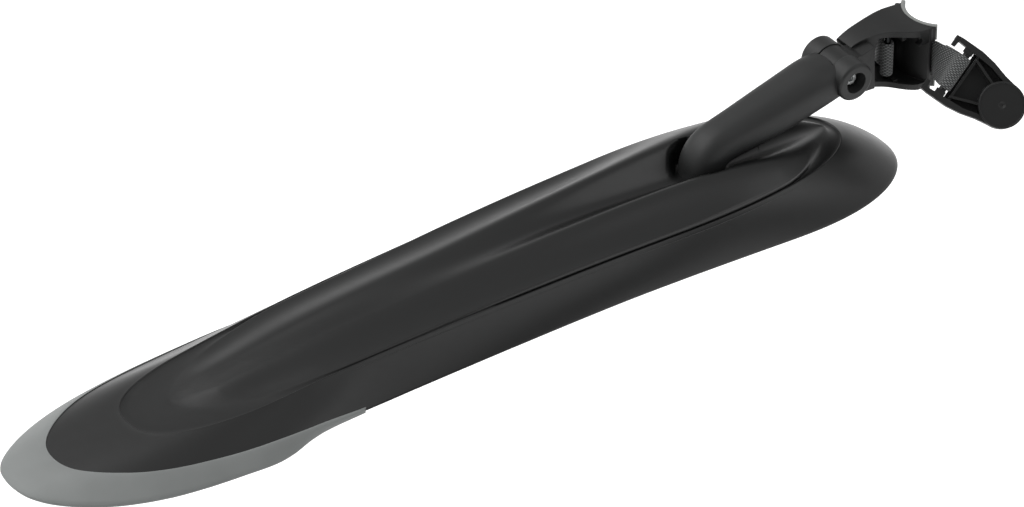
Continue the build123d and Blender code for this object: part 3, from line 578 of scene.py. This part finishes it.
def circle_run(work, x, z, rx, ry, count):
    """Ring of points round a flat oval on the middle line."""
    turn = [2 * pi * k / count for k in range(count)]
    return [work.verts.new(((x + rx * cos(a)) * MM, ry * sin(a) * MM, z * MM)) for a in turn]


def bridge(work, one, two):
    """Faces between two rings of points."""
    for k in range(len(one)):
        n = (k + 1) % len(one)
        work.faces.new((one[k], one[n], two[n], two[k]))


def make_foot_pad():
    """Thick oval under the foot of the arm, with a round seat for each screw head."""
    work = bmesh.new()
    high = FOOT_LEVEL - DROP
    low = high - FOOT_PAD_DEPTH
    rings = []
    for z, inset in [(high - FOOT_PAD_SUNK, 0.0)] + [(low + rise, inset) for rise, inset in FOOT_PAD_EDGE]:
        rings.append(circle_run(work, FOOT_X, z, FOOT_PAD_LENGTH - inset, FOOT_PAD_WIDTH - inset, 72))
    for one, two in zip(rings, rings[1:]):
        bridge(work, one, two)
    work.faces.new(rings[0])
    edge_runs = [rings[-1]]
    for x in (FOOT_X - SCREW_SPREAD / 2, FOOT_X + SCREW_SPREAD / 2):
        mouth, wall, seat = (circle_run(work, x, z, r, r, 40) for z, r in (
            (low, SCREW_SEAT_RADIUS + SEAT_CHAMFER), (low + SEAT_CHAMFER, SCREW_SEAT_RADIUS),
            (high - SCREW_SEAT_DEPTH, SCREW_SEAT_RADIUS)))
        bridge(work, mouth, wall)
        bridge(work, wall, seat)
        work.faces.new(seat)
        edge_runs.append(mouth)
    edges = []
    for run in edge_runs:
        for k in range(len(run)):
            edges.append(work.edges.get((run[k], run[(k + 1) % len(run)])))
    bmesh.ops.triangle_fill(work, use_beauty=True, edges=edges)
    bmesh.ops.recalc_face_normals(work, faces=work.faces)
    mesh = bpy.data.meshes.new("foot_pad")
    work.to_mesh(mesh)
    work.free()
    return mesh


def blade_ring(phi):
    """Points at one angle round the blade, from the rim over the step, the tray and the riser to the spine."""
    here = rim, step, _, _ = skirt_frame(phi)
    t, side = round_share(phi)
    s_step = step_station(t)
    s_edge = panel_station(s_step)
    ring = [on_skirt(*here, SKIRT_TOP * (j / (SKIRT_ROWS - 1))) for j in range(SKIRT_ROWS)]

    edge = place(s_edge, side * panel_half(s_edge), along(STEP_LINE, s_edge))
    inward = Vector((step.x - rim.x, step.y - rim.y, 0)).normalized()
    across = Vector((edge.x - step.x, edge.y - step.y, 0))
    wide = max(across.length, 0.05)
    across = across.normalized() if across.length > 0.001 else inward
    lip = min(1.0, wide / LIP_WIDTH)
    for a, h in LIP_STEPS:
        ring.append(step + across * (a * lip) + Vector((0, 0, h)))

    soft = max(ramp(s_edge, *RISER_SOFT_TAIL), ramp(s_edge, *RISER_SOFT_FRONT))
    lift = (along(RISER_LINE, s_edge) + LIP) * soft
    start = LIP_END * lip / wide
    for k in range(TRAY_ROWS):
        w = k / (TRAY_ROWS - 1)
        share = start + (1 - start) * w
        s = s_step + (s_edge - s_step) * share
        ring.append(Vector((step.x + (edge.x - step.x) * share, step.y + (edge.y - step.y) * share,
                            height(along(STEP_LINE, s)) - LIP + lift * w * w)))

    base = ring[-1]
    for (a, h), wide_a in zip(CRISP_RISER, SOFT_RISER):
        spot = base + inward * (a + (wide_a - a) * soft)
        level = height(panel_level(station_at(spot.x), abs(spot.y)))
        spot.z += (level - base.z) * (h + (1 - h) * soft)
        ring.append(spot)

    spine = place(SPINE_MIDDLE + (s_edge - SPINE_MIDDLE) * SPINE_SHARE, 0, 0)
    first = base + inward * (PANEL_START + PANEL_START_SOFT * soft)
    for k in range(PANEL_ROWS + 1):
        share = 1 - k / PANEL_ROWS
        x, y = spine.x + (first.x - spine.x) * share, first.y * share
        z = height(panel_level(station_at(x), abs(y)))
        gap = hypot((x - FOOT_X) / FOOT_PAD_LENGTH, y / FOOT_PAD_WIDTH)
        z += (FOOT_LEVEL - DROP - z) * (1 - ramp(gap, 1.0, FOOT_BLEND))
        ring.append(Vector((x, y, z)))
    return ring


def make_blade():
    """Outer skin of the blade as one surface, given its wall by a modifier, with the pad under the arm's foot."""
    rings = [blade_ring(2 * pi * (i + 0.5) / BLADE_COUNT) for i in range(BLADE_COUNT)]
    mesh = tube_mesh("blade_shell", list(zip(*rings)))
    tidy_mesh(mesh)
    obj = new_object("blade_shell", mesh)
    wall = obj.modifiers.new("wall", "SOLIDIFY")
    wall.thickness = bpy.context.scene.mudguard_looks.wall
    wall.offset = -1.0
    wall.use_even_offset = False
    apply_modifiers(obj)
    tidy_mesh(obj.data, merge=0.000005)
    round_edge = obj.modifiers.new("round", "BEVEL")
    round_edge.width = BLADE_ROUND * MM
    round_edge.segments = 2
    round_edge.limit_method = "ANGLE"
    round_edge.angle_limit = radians(55)
    apply_modifiers(obj)
    pad = make_foot_pad()
    work = bmesh.new()
    work.from_mesh(obj.data)
    work.from_mesh(pad)
    work.to_mesh(obj.data)
    work.free()
    bpy.data.meshes.remove(pad)
    obj.data.shade_smooth()
    obj.data.set_sharp_from_angle(angle=radians(50))
    return obj


def make_tail_edge():
    """Soft edge: skin over the tail of the blade, a thick outer rim and a closed underside."""
    last = acos(1 - 2 * (EDGE_END - RIM_TAIL) / (RIM_FRONT - RIM_TAIL))
    rows = []
    for i in range(-EDGE_COUNT, EDGE_COUNT + 1):
        phi = last * i / EDGE_COUNT
        t, side = round_share(phi)
        sr = rim_station(t)
        far, level, share = (along(column(EDGE_LINE, k), sr) for k in (1, 3, 4))
        outer = place(far, side * EDGE_HALF_WIDTH / 100 * along(EDGE_WIDE, edge_share(sr)), level)
        here = _, _, out, _ = skirt_frame(phi)
        inner = on_skirt(*here, share, EDGE_PROUD)
        middle = on_skirt(*here, 0.0, EDGE_SWELL)
        away = outer - middle
        away = away.normalized() if away.length > 0.01 else Vector((0, 0, -1))
        outer = outer - away * EDGE_ROUND
        ring = [curve_point(inner, middle, outer, j / EDGE_ACROSS) for j in range(EDGE_ACROSS + 1)]
        tip = ring[-1]
        ring += [tip + away * a - out * b for a, b in EDGE_NOSE]
        for j in range(EDGE_ACROSS, -1, -2):
            t = j / EDGE_ACROSS
            thick = EDGE_THIN + EDGE_MORE * ramp(t, 0.2, 0.4)
            ring.append(curve_point(inner, middle, outer, t) - out * thick)
        rows.append(ring)
    mesh = tube_mesh("tail_edge_skin", rows)
    close_ends(mesh, rows)
    tidy_mesh(mesh, sharp_degrees=60)
    return new_object("tail_edge_skin", mesh)


def make_pads():
    """Two bands of rubber with rounded edges, lining the saddle above and below the strap."""
    keep = STRAP_WIDTH / 2 + PAD_OFF_STRAP
    work = bmesh.new()
    for z0, z1 in ((keep, CLAMP_HALF + PAD_LIP), (-CLAMP_HALF, -keep)):
        corners = rounded_box(POST_RADIUS, SADDLE - PAD_OFF_WALL, z0, z1, PAD_ROUND)
        rings = []
        for i in range(PAD_STEPS + 1):
            a = radians(PAD_ANGLE * (2 * i / PAD_STEPS - 1))
            rings.append([work.verts.new((-c * cos(a) * MM, c * sin(a) * MM, z * MM)) for c, z in corners])
        for one, two in zip(rings, rings[1:]):
            bridge(work, one, two)
        work.faces.new(rings[0])
        work.faces.new(list(reversed(rings[-1])))
    mesh = bpy.data.meshes.new("saddle_pad_bands")
    work.to_mesh(mesh)
    work.free()
    tidy_mesh(mesh, sharp_degrees=50)
    return new_object("saddle_pad_bands", mesh)


def make_lever_lip():
    """Rounded web behind the strap's loop, from the lever's floor to its crossbar."""
    side = LEVER_FACE.cross(LEVER_ALONG).normalized()
    outline = rounded_box(-WEB_HALF_LONG, WEB_HALF_LONG, -WEB_HALF_DEEP, WEB_HALF_DEEP, WEB_ROUND)
    rows = []
    for y in WEB_ACROSS:
        grow = 1.0 + WEB_FLARE * ramp(abs(y), WEB_FLARE_FROM, WEB_FLARE_RUN)
        rows.append([LEVER_PLACE + LEVER_ALONG * (WEB_ALONG + x) + LEVER_FACE * (WEB_FACE + z * grow) + side * y
                     for x, z in outline])
    mesh = tube_mesh("lever_lip", rows)
    close_ends(mesh, rows)
    tidy_mesh(mesh, sharp_degrees=50)
    return new_object("lever_lip", mesh)


def smooth_run(points, rounds):
    """Corner cutting of an open run."""
    for _ in range(rounds):
        made = [points[0]]
        for a, b in zip(points, points[1:]):
            made.append(a * 0.75 + b * 0.25)
            made.append(a * 0.25 + b * 0.75)
        made.append(points[-1])
        points = made
    return points


def strap_line():
    """Centre line of the strap with its width direction, from the pin to the sewn end behind the lever."""
    up = Vector((0, 0, 1))
    line = []

    def flat(x, y):
        line.append((Vector((x, y, 0)), up.copy()))

    def arc(middle, r, start, turn, count):
        for k in range(count + 1):
            a = radians(start + turn * k / count)
            flat(middle.x + r * cos(a), middle.y + r * sin(a))

    hold = PIN_RADIUS + PIN_PLAY + STRAP_THICK / 2
    arc(ANCHOR, hold, PIN_TURN_START, PIN_TURN, 22)
    tip = radians(TIP_ANGLE)
    far = Vector((-TIP_RADIUS * cos(tip), TIP_RADIUS * sin(tip)))
    near = Vector((far.x, -far.y))
    behind = radians(FAR_WRAP - TIP_ANGLE)
    run = [Vector((ANCHOR.x + hold, ANCHOR.y))]
    run += [Vector((ANCHOR.x + back, SLOT_Y + off)) for back, off in SLOT_PATH]
    run.append(Vector((far.x + WRAP * cos(behind), far.y + WRAP * sin(behind))))
    for p in smooth_run(run, 3)[1:-1]:
        flat(p.x, p.y)
    arc(far, WRAP, FAR_WRAP - TIP_ANGLE, -FAR_WRAP, 16)
    for k in range(1, 60):
        a = radians(TIP_ANGLE - 2 * TIP_ANGLE * k / 60)
        flat(-STRAP_RADIUS * cos(a), STRAP_RADIUS * sin(a))
    arc(near, WRAP, TIP_ANGLE, -NEAR_WRAP, 12)

    start = line[-1][0].copy()
    end = LEVER_PLACE
    go = (end - start).normalized()
    reach = (end - start).length
    bar = LEVER_FACE.cross(LEVER_ALONG).normalized()

    def station(d, side):
        """Width direction and middle of the strap at distance d, moved sideways off the middle line."""
        k = min(1.0, max(0.0, d / reach))
        wide = (up * (1 - k) + bar * k).normalized()
        thin = go.cross(wide).normalized()
        line.append((start + go * d + thin * side, wide))

    layer = STRAP_THICK / 2 + LAYER_GAP
    throat, split = reach - THROAT_BACK, reach - SPLIT_BACK

    def open_loop(t, side):
        station(throat + (reach - throat) * t, side * (layer + (BAR_LOOP - layer) * smooth_step(t)))

    for k in range(1, 13):
        d = throat * k / 12
        station(d, layer * ramp(d, SPLIT_START, max(split - SPLIT_START, 1.0)))
    for k in range(1, 8):
        open_loop(k / 8, 1)
    thin = go.cross(bar).normalized()
    for k in range(17):
        a = pi * k / 16
        line.append((end + thin * (BAR_LOOP * cos(a)) + go * (BAR_LOOP * sin(a)), bar.copy()))
    for k in range(1, 8):
        open_loop(1 - k / 8, -1)
    for k in range(1, 8):
        station(throat - (throat - split) * k / 7, -layer)
    return line


def make_strap():
    """Woven strap with rounded selvedges, and its own map of millimetres across and along the weave."""
    line = strap_line()
    w, h = STRAP_WIDTH / 2 - SELVEDGE, STRAP_THICK / 2
    section = [(-w, h)]
    for side in (1, -1):
        for k in range(1, 13):
            section.append((side * (2 * w * k / 12 - w), side * h))
        for k in range(1, 6):
            a = radians(side * 90 - 30 * k)
            section.append((side * w + SELVEDGE * cos(a), h * sin(a)))
    n = len(section)
    work = bmesh.new()
    weave = work.loops.layers.uv.new("weave")
    rings, lengths, total = [], [], 0.0
    for i, (spot, wide) in enumerate(line):
        before, after = line[max(i - 1, 0)][0], line[min(i + 1, len(line) - 1)][0]
        if i:
            total += (spot - line[i - 1][0]).length
        go = (after - before).normalized()
        wide = (wide - go * wide.dot(go)).normalized()
        thin = go.cross(wide).normalized()
        rings.append([work.verts.new((spot + wide * a + thin * b) * MM) for a, b in section])
        lengths.append(total)
    for i in range(len(rings) - 1):
        for j in range(n):
            k = (j + 1) % n
            face = work.faces.new((rings[i][j], rings[i][k], rings[i + 1][k], rings[i + 1][j]))
            spots = ((section[j][0], lengths[i]), (section[k][0], lengths[i]),
                     (section[k][0], lengths[i + 1]), (section[j][0], lengths[i + 1]))
            for loop, (a, s) in zip(face.loops, spots):
                loop[weave].uv = (a * MM, s * MM)
    for ring, s in ((rings[0], 0.0), (list(reversed(rings[-1])), total)):
        face = work.faces.new(ring)
        for loop in face.loops:
            loop[weave].uv = (0.0, s * MM)
    mesh = bpy.data.meshes.new("strap_webbing")
    bmesh.ops.recalc_face_normals(work, faces=work.faces)
    work.to_mesh(mesh)
    work.free()
    mesh.shade_smooth()
    mesh.set_sharp_from_angle(angle=radians(60))
    return new_object("strap_webbing", mesh), line, total


def stitch_group():
    """Geometry nodes that put one stitch on every point of a guide, turned along its stored direction."""
    tree = bpy.data.node_groups.new("stitch_rows", "GeometryNodeTree")
    for name, way, kind in (("Geometry", "INPUT", "Geometry"), ("Stitch Length", "INPUT", "Float"),
                            ("Thread Radius", "INPUT", "Float"), ("Thread", "INPUT", "Material"),
                            ("Geometry", "OUTPUT", "Geometry")):
        tree.interface.new_socket(name, in_out=way, socket_type="NodeSocket" + kind)
    n = Nodes(tree, "")
    given = n.add("NodeGroupInput").outputs
    spread = n.add("FunctionNodeRandomValue", {2: 0.92, 3: 1.08, "Seed": 7}, data_type="FLOAT")
    ball = n.add("GeometryNodeMeshUVSphere", {"Segments": 10, "Rings": 8, "Radius": 1.0})
    half = n.add("ShaderNodeMath", {0: given["Stitch Length"], 1: 0.5}, operation="MULTIPLY")
    shape = n.add("ShaderNodeCombineXYZ", {0: given["Thread Radius"], 1: given["Thread Radius"], 2: half})
    sized = n.add("ShaderNodeVectorMath", {0: shape, "Scale": spread.outputs[1]}, operation="SCALE")
    way = n.add("GeometryNodeInputNamedAttribute", {"Name": "way"}, data_type="FLOAT_VECTOR")
    turn = n.add("FunctionNodeAlignRotationToVector", {"Vector": way}, axis="Z")
    points = n.add("GeometryNodeMeshToPoints", {"Mesh": given["Geometry"]})
    put = n.add("GeometryNodeInstanceOnPoints", {"Points": points, "Instance": ball, "Rotation": turn, "Scale": sized})
    real = n.add("GeometryNodeRealizeInstances", {0: put})
    smooth = n.add("GeometryNodeSetShadeSmooth", {0: real})
    done = n.add("GeometryNodeSetMaterial", {"Geometry": smooth, "Material": given["Thread"]})
    n.add("NodeGroupOutput", {0: done})
    return tree


def make_stitches(line, look):
    """Box of stitches that holds the strap's end behind the lever."""
    sewn = line[-SEWN_POINTS:]
    points, ways = [], []
    for (a, wide_a), (b, _) in zip(sewn, sewn[1:]):
        go = (b - a).normalized()
        thin = go.cross(wide_a).normalized()
        for side in STITCH_ROWS:
            for share in (0.25, 0.75):
                points.append((a + (b - a) * share + wide_a * side + thin * STITCH_STAND) * MM)
                ways.append(go)
    mesh = bpy.data.meshes.new("strap_stitches")
    mesh.from_pydata([tuple(p) for p in points], [], [])
    store = mesh.attributes.new("way", "FLOAT_VECTOR", "POINT")
    for item, way in zip(store.data, ways):
        item.vector = way
    obj = new_object("strap_stitches", mesh)
    tree = stitch_group()
    rows = obj.modifiers.new("stitches", "NODES")
    rows.node_group = tree
    values = {"Stitch Length": look.stitch, "Thread Radius": THREAD_RADIUS * MM, "Thread": material("thread")}
    for item in tree.interface.items_tree:
        if item.item_type == "SOCKET" and item.in_out == "INPUT" and item.name in values:
            rows[item.identifier] = values[item.name]
    return apply_modifiers(obj)


def colour_property(name, description, text):
    """Colour setting from an sRGB hex colour."""
    return bpy.props.FloatVectorProperty(name=name, description=description, default=hex_linear(text),
                                         size=4, min=0.0, max=1.0, subtype="COLOR")


def number_property(name, description, default, least, most, **kind):
    """Plain number, share or power."""
    return bpy.props.FloatProperty(name=name, description=description, default=default, min=least, max=most, **kind)


def length_property(name, description, default, most):
    """Length setting in metres."""
    return number_property(name, description, default, 0.0001, most, precision=4, subtype="DISTANCE", unit="LENGTH")


class MudguardLooks(bpy.types.PropertyGroup):
    """Sizes and colours of the visible pieces."""

    blade_colour: colour_property("Blade colour", "Colour of the long moulded blade", "0a0b0b")
    edge_colour: colour_property("Tail edge colour", "Colour of the soft edge round the tail", "7e8180")
    arm_colour: colour_property("Arm colour", "Colour of the stay arm", "1b1c1c")
    clamp_colour: colour_property("Clamp colour", "Colour of the bracket and the lever", "0a0b0b")
    pad_colour: colour_property("Pad colour", "Colour of the rubber bands in the saddle", "8a8c8a")
    strap_colour: colour_property("Strap colour", "Colour of the raised yarn of the strap", "7c7e7e")
    # The gap colour is painted shade between the yarns
    strap_shadow: colour_property("Strap gap colour", "Colour deep between the strap's yarns", "020303")
    blade_roughness: number_property("Blade roughness", "How wide the highlights on the blade spread",
                                     0.34, 0.05, 1.0, subtype="FACTOR")
    arm_roughness: number_property("Arm roughness", "How wide the highlights on the arm, bracket and lever spread",
                                   0.56, 0.05, 1.0, subtype="FACTOR")
    wall: length_property("Blade wall", "Thickness of the blade's wall", WALL * MM, 0.006)
    yarn: length_property("Yarn width", "Width of one rib of the strap's weave", 0.9 * MM, 0.004)
    pick: length_property("Pick length", "Length of one rise and dip along a rib", 1.9 * MM, 0.006)
    stitch: length_property("Stitch length", "Length of one stitch in the strap's sewn end", 1.0 * MM, 0.005)


class MudguardStage(bpy.types.PropertyGroup):
    """Studio round the mudguard."""

    floor_drop: length_property("Floor drop", "Height of the part above the white floor", 0.12, 2.0)
    sky: number_property("Sky strength", "Level of the even light from all round", 0.5, 0.0, 5.0)
    key: number_property("Key light", "Power of the large light behind the tail", 17.0, 0.0, 2000.0, unit="POWER")
    front: number_property("Front light", "Power of the light on the near side, by the clamp",
                           5.0, 0.0, 2000.0, unit="POWER")


class MUDGUARD_OT_blade(bpy.types.Operator):
    """Build the moulded blade"""

    bl_idname = "mudguard.blade"
    bl_label = "Blade"

    def execute(self, context):
        obj = make_blade()
        dress(obj, "blade")
        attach(obj, "guard")
        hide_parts("blade")
        return {"FINISHED"}


class MUDGUARD_OT_tail_edge(bpy.types.Operator):
    """Build the soft edge round the tail"""

    bl_idname = "mudguard.tail_edge"
    bl_label = "Tail edge"

    def execute(self, context):
        obj = make_tail_edge()
        dress(obj, "edge")
        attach(obj, "guard")
        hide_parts("tail_edge")
        return {"FINISHED"}


class MUDGUARD_OT_mouldings(bpy.types.Operator):
    """Finish the stay arm, the bracket and the lever"""

    bl_idname = "mudguard.mouldings"
    bl_label = "Arm, bracket and lever"

    def execute(self, context):
        dress(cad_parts["stay_arm"], "arm")
        for name in ("seat_post_bracket", "clamp_lever"):
            dress(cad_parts[name], "clamp")
        lip = make_lever_lip()
        dress(lip, "clamp")
        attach(lip, "lever")
        return {"FINISHED"}


class MUDGUARD_OT_fasteners(bpy.types.Operator):
    """Finish the bolt, nut, screws and pin"""

    bl_idname = "mudguard.fasteners"
    bl_label = "Fasteners"

    def execute(self, context):
        for name in ("hinge_bolt", "hinge_nut", "foot_screws"):
            dress(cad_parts[name], "steel")
        dress(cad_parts["strap_anchor_pin"], "dark_steel")
        return {"FINISHED"}


class MUDGUARD_OT_pads(bpy.types.Operator):
    """Build the rubber bands in the saddle"""

    bl_idname = "mudguard.pads"
    bl_label = "Saddle pads"

    def execute(self, context):
        obj = make_pads()
        dress(obj, "pad")
        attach(obj, "bracket")
        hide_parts("saddle_pads")
        return {"FINISHED"}


class MUDGUARD_OT_strap(bpy.types.Operator):
    """Build the webbing strap and its stitches"""

    bl_idname = "mudguard.strap"
    bl_label = "Strap"

    def execute(self, context):
        obj, line, length = make_strap()
        dress(obj, "strap")
        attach(obj, "bracket")
        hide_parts("strap")
        seams = make_stitches(line, context.scene.mudguard_looks)
        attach(seams, "bracket")
        return {"FINISHED"}


class MUDGUARD_OT_stage(bpy.types.Operator):
    """Build the floor, the lights and the camera"""

    bl_idname = "mudguard.stage"
    bl_label = "Stage"

    def execute(self, context):
        make_stage(context.scene)
        return {"FINISHED"}


def area_light(name, spot, aim, size, watts):
    """White rectangular softbox."""
    data = bpy.data.lights.new(name, "AREA")
    data.shape = "RECTANGLE"
    data.size, data.size_y = size
    data.energy = watts
    obj = new_object(name, data)
    obj.location = spot
    obj.rotation_mode = "QUATERNION"
    obj.rotation_quaternion = (Vector(aim) - Vector(spot)).to_track_quat("-Z", "Y")


def make_floor(low):
    """White paper below the part, which glows where it is seen or mirrored."""
    mesh = bpy.data.meshes.new("studio_floor")
    r = FLOOR_HALF
    mesh.from_pydata([(-r, -r, low), (r, -r, low), (r, r, low), (-r, r, low)], [], [(0, 1, 2, 3)])
    floor = new_object("studio_floor", mesh)
    mat, n, shader = start_material("white_paper_floor")
    path = n.add("LightPath").outputs
    plain = n.add("Math", {0: path["Is Camera Ray"], 1: path["Is Glossy Ray"]}, operation="MAXIMUM")
    shown = n.add("Math", {0: plain, 1: path["Is Transmission Ray"]}, operation="MAXIMUM")
    glow = n.add("Math", {0: shown, 1: FLOOR_GLOW}, operation="MULTIPLY")
    n.feed(shader, {"Base Color": hex_linear("e9e9e9"), "Roughness": 0.9, "Specular IOR Level": 0.0,
                    "Emission Color": (1, 1, 1, 1), "Emission Strength": glow})
    mesh.materials.append(mat)
    return floor


def make_sky(sky):
    """White sky to the eye, even light for soft shade, and a room with darker and paler sides for gloss."""
    world = bpy.data.worlds.new("studio_sky")
    world.use_nodes = True
    n = Nodes(world.node_tree)
    path = n.add("LightPath").outputs
    way = n.add("TexCoord").outputs["Generated"]
    side = n.add("VectorMath", {0: way, 1: ROOM_FAR_SIDE}, operation="DOT_PRODUCT").outputs["Value"]
    rise = n.add("SeparateXYZ", {"Vector": way}).outputs["Z"]
    wall, horizon, behind, ceiling = [
        n.add("MapRange", {"Value": value, 1: start, 2: end, 3: low, 4: high},
              interpolation_type="SMOOTHSTEP")
        for value, (start, end, low, high) in zip((side, rise, side, rise), ROOM_SLOPES)]
    room = n.add("Math", {0: horizon, 1: behind, 2: wall}, operation="MULTIPLY_ADD")
    room = n.add("Math", {0: room, 1: ceiling}, operation="MULTIPLY")
    shown = n.add("Math", {0: path["Is Glossy Ray"], 1: path["Is Transmission Ray"]}, operation="MAXIMUM")
    seen = n.add("Math", {0: path["Is Camera Ray"], 1: SEEN_SKY - sky, 2: sky}, operation="MULTIPLY_ADD")
    more = n.add("Math", {0: room, 1: sky}, operation="SUBTRACT")
    total = n.add("Math", {0: shown, 1: more, 2: seen}, operation="MULTIPLY_ADD")
    n.feed(world.node_tree.nodes["Background"], {"Color": (1, 1, 1, 1), "Strength": total})
    return world


def make_camera():
    """Camera that sees the part as the photograph does."""
    data = bpy.data.cameras.new("photo_camera")
    cam = new_object("photo_camera", data)
    a, e = radians(VIEW_AZIMUTH), radians(VIEW_ELEVATION)
    back = Vector((sin(a) * cos(e), -cos(a) * cos(e), sin(e)))
    cam.location = VIEW_PIVOT + back * VIEW_DISTANCE
    cam.rotation_mode = "QUATERNION"
    cam.rotation_quaternion = (-back).to_track_quat("-Z", "Y")
    data.sensor_width = SENSOR_MM
    data.lens = PIXELS_PER_MM * VIEW_DISTANCE * 1000 * SENSOR_MM / IMAGE_WIDTH
    data.shift_x = (IMAGE_WIDTH / 2 - PIVOT_PIXEL[0]) / IMAGE_WIDTH
    data.shift_y = (PIVOT_PIXEL[1] - IMAGE_HEIGHT / 2) / IMAGE_WIDTH
    data.clip_start, data.clip_end = 0.05, 50.0
    return cam


def make_stage(scene):
    """Floor, sky, lights and camera."""
    stage = scene.mudguard_stage
    floor = make_floor(CAD_BOX[0].z - stage.floor_drop)
    scene.world = make_sky(stage.sky)
    area_light("key_softbox", *KEY_SOFTBOX, stage.key)
    area_light("front_softbox", *FRONT_SOFTBOX, stage.front)
    scene.camera = make_camera()
    scene.view_settings.view_transform = "Standard"


class MUDGUARD_PT_panel(bpy.types.Panel):
    """Buttons for building the mudguard"""

    bl_idname = "MUDGUARD_PT_panel"
    bl_label = "Mudguard"
    bl_space_type = "VIEW_3D"
    bl_region_type = "UI"
    bl_category = "Mudguard"

    def draw(self, context):
        for group in (context.scene.mudguard_looks, context.scene.mudguard_stage):
            for name in group.__annotations__:
                self.layout.prop(group, name)
        for operator in OPERATORS:
            self.layout.operator(operator.bl_idname)


OPERATORS = (MUDGUARD_OT_blade, MUDGUARD_OT_tail_edge, MUDGUARD_OT_mouldings, MUDGUARD_OT_fasteners,
             MUDGUARD_OT_pads, MUDGUARD_OT_strap, MUDGUARD_OT_stage)
CLASSES = (MudguardLooks, MudguardStage) + OPERATORS + (MUDGUARD_PT_panel,)


def register():
    for cls in CLASSES:
        bpy.utils.register_class(cls)
    bpy.types.Scene.mudguard_looks = bpy.props.PointerProperty(type=MudguardLooks)
    bpy.types.Scene.mudguard_stage = bpy.props.PointerProperty(type=MudguardStage)


def unregister():
    del bpy.types.Scene.mudguard_stage
    del bpy.types.Scene.mudguard_looks
    for cls in reversed(CLASSES):
        bpy.utils.unregister_class(cls)


def main():
    register()
    bpy.ops.mudguard.blade()
    bpy.ops.mudguard.tail_edge()
    bpy.ops.mudguard.mouldings()
    bpy.ops.mudguard.fasteners()
    bpy.ops.mudguard.pads()
    bpy.ops.mudguard.strap()
    bpy.ops.mudguard.stage()


if __name__ == "__main__":
    main()
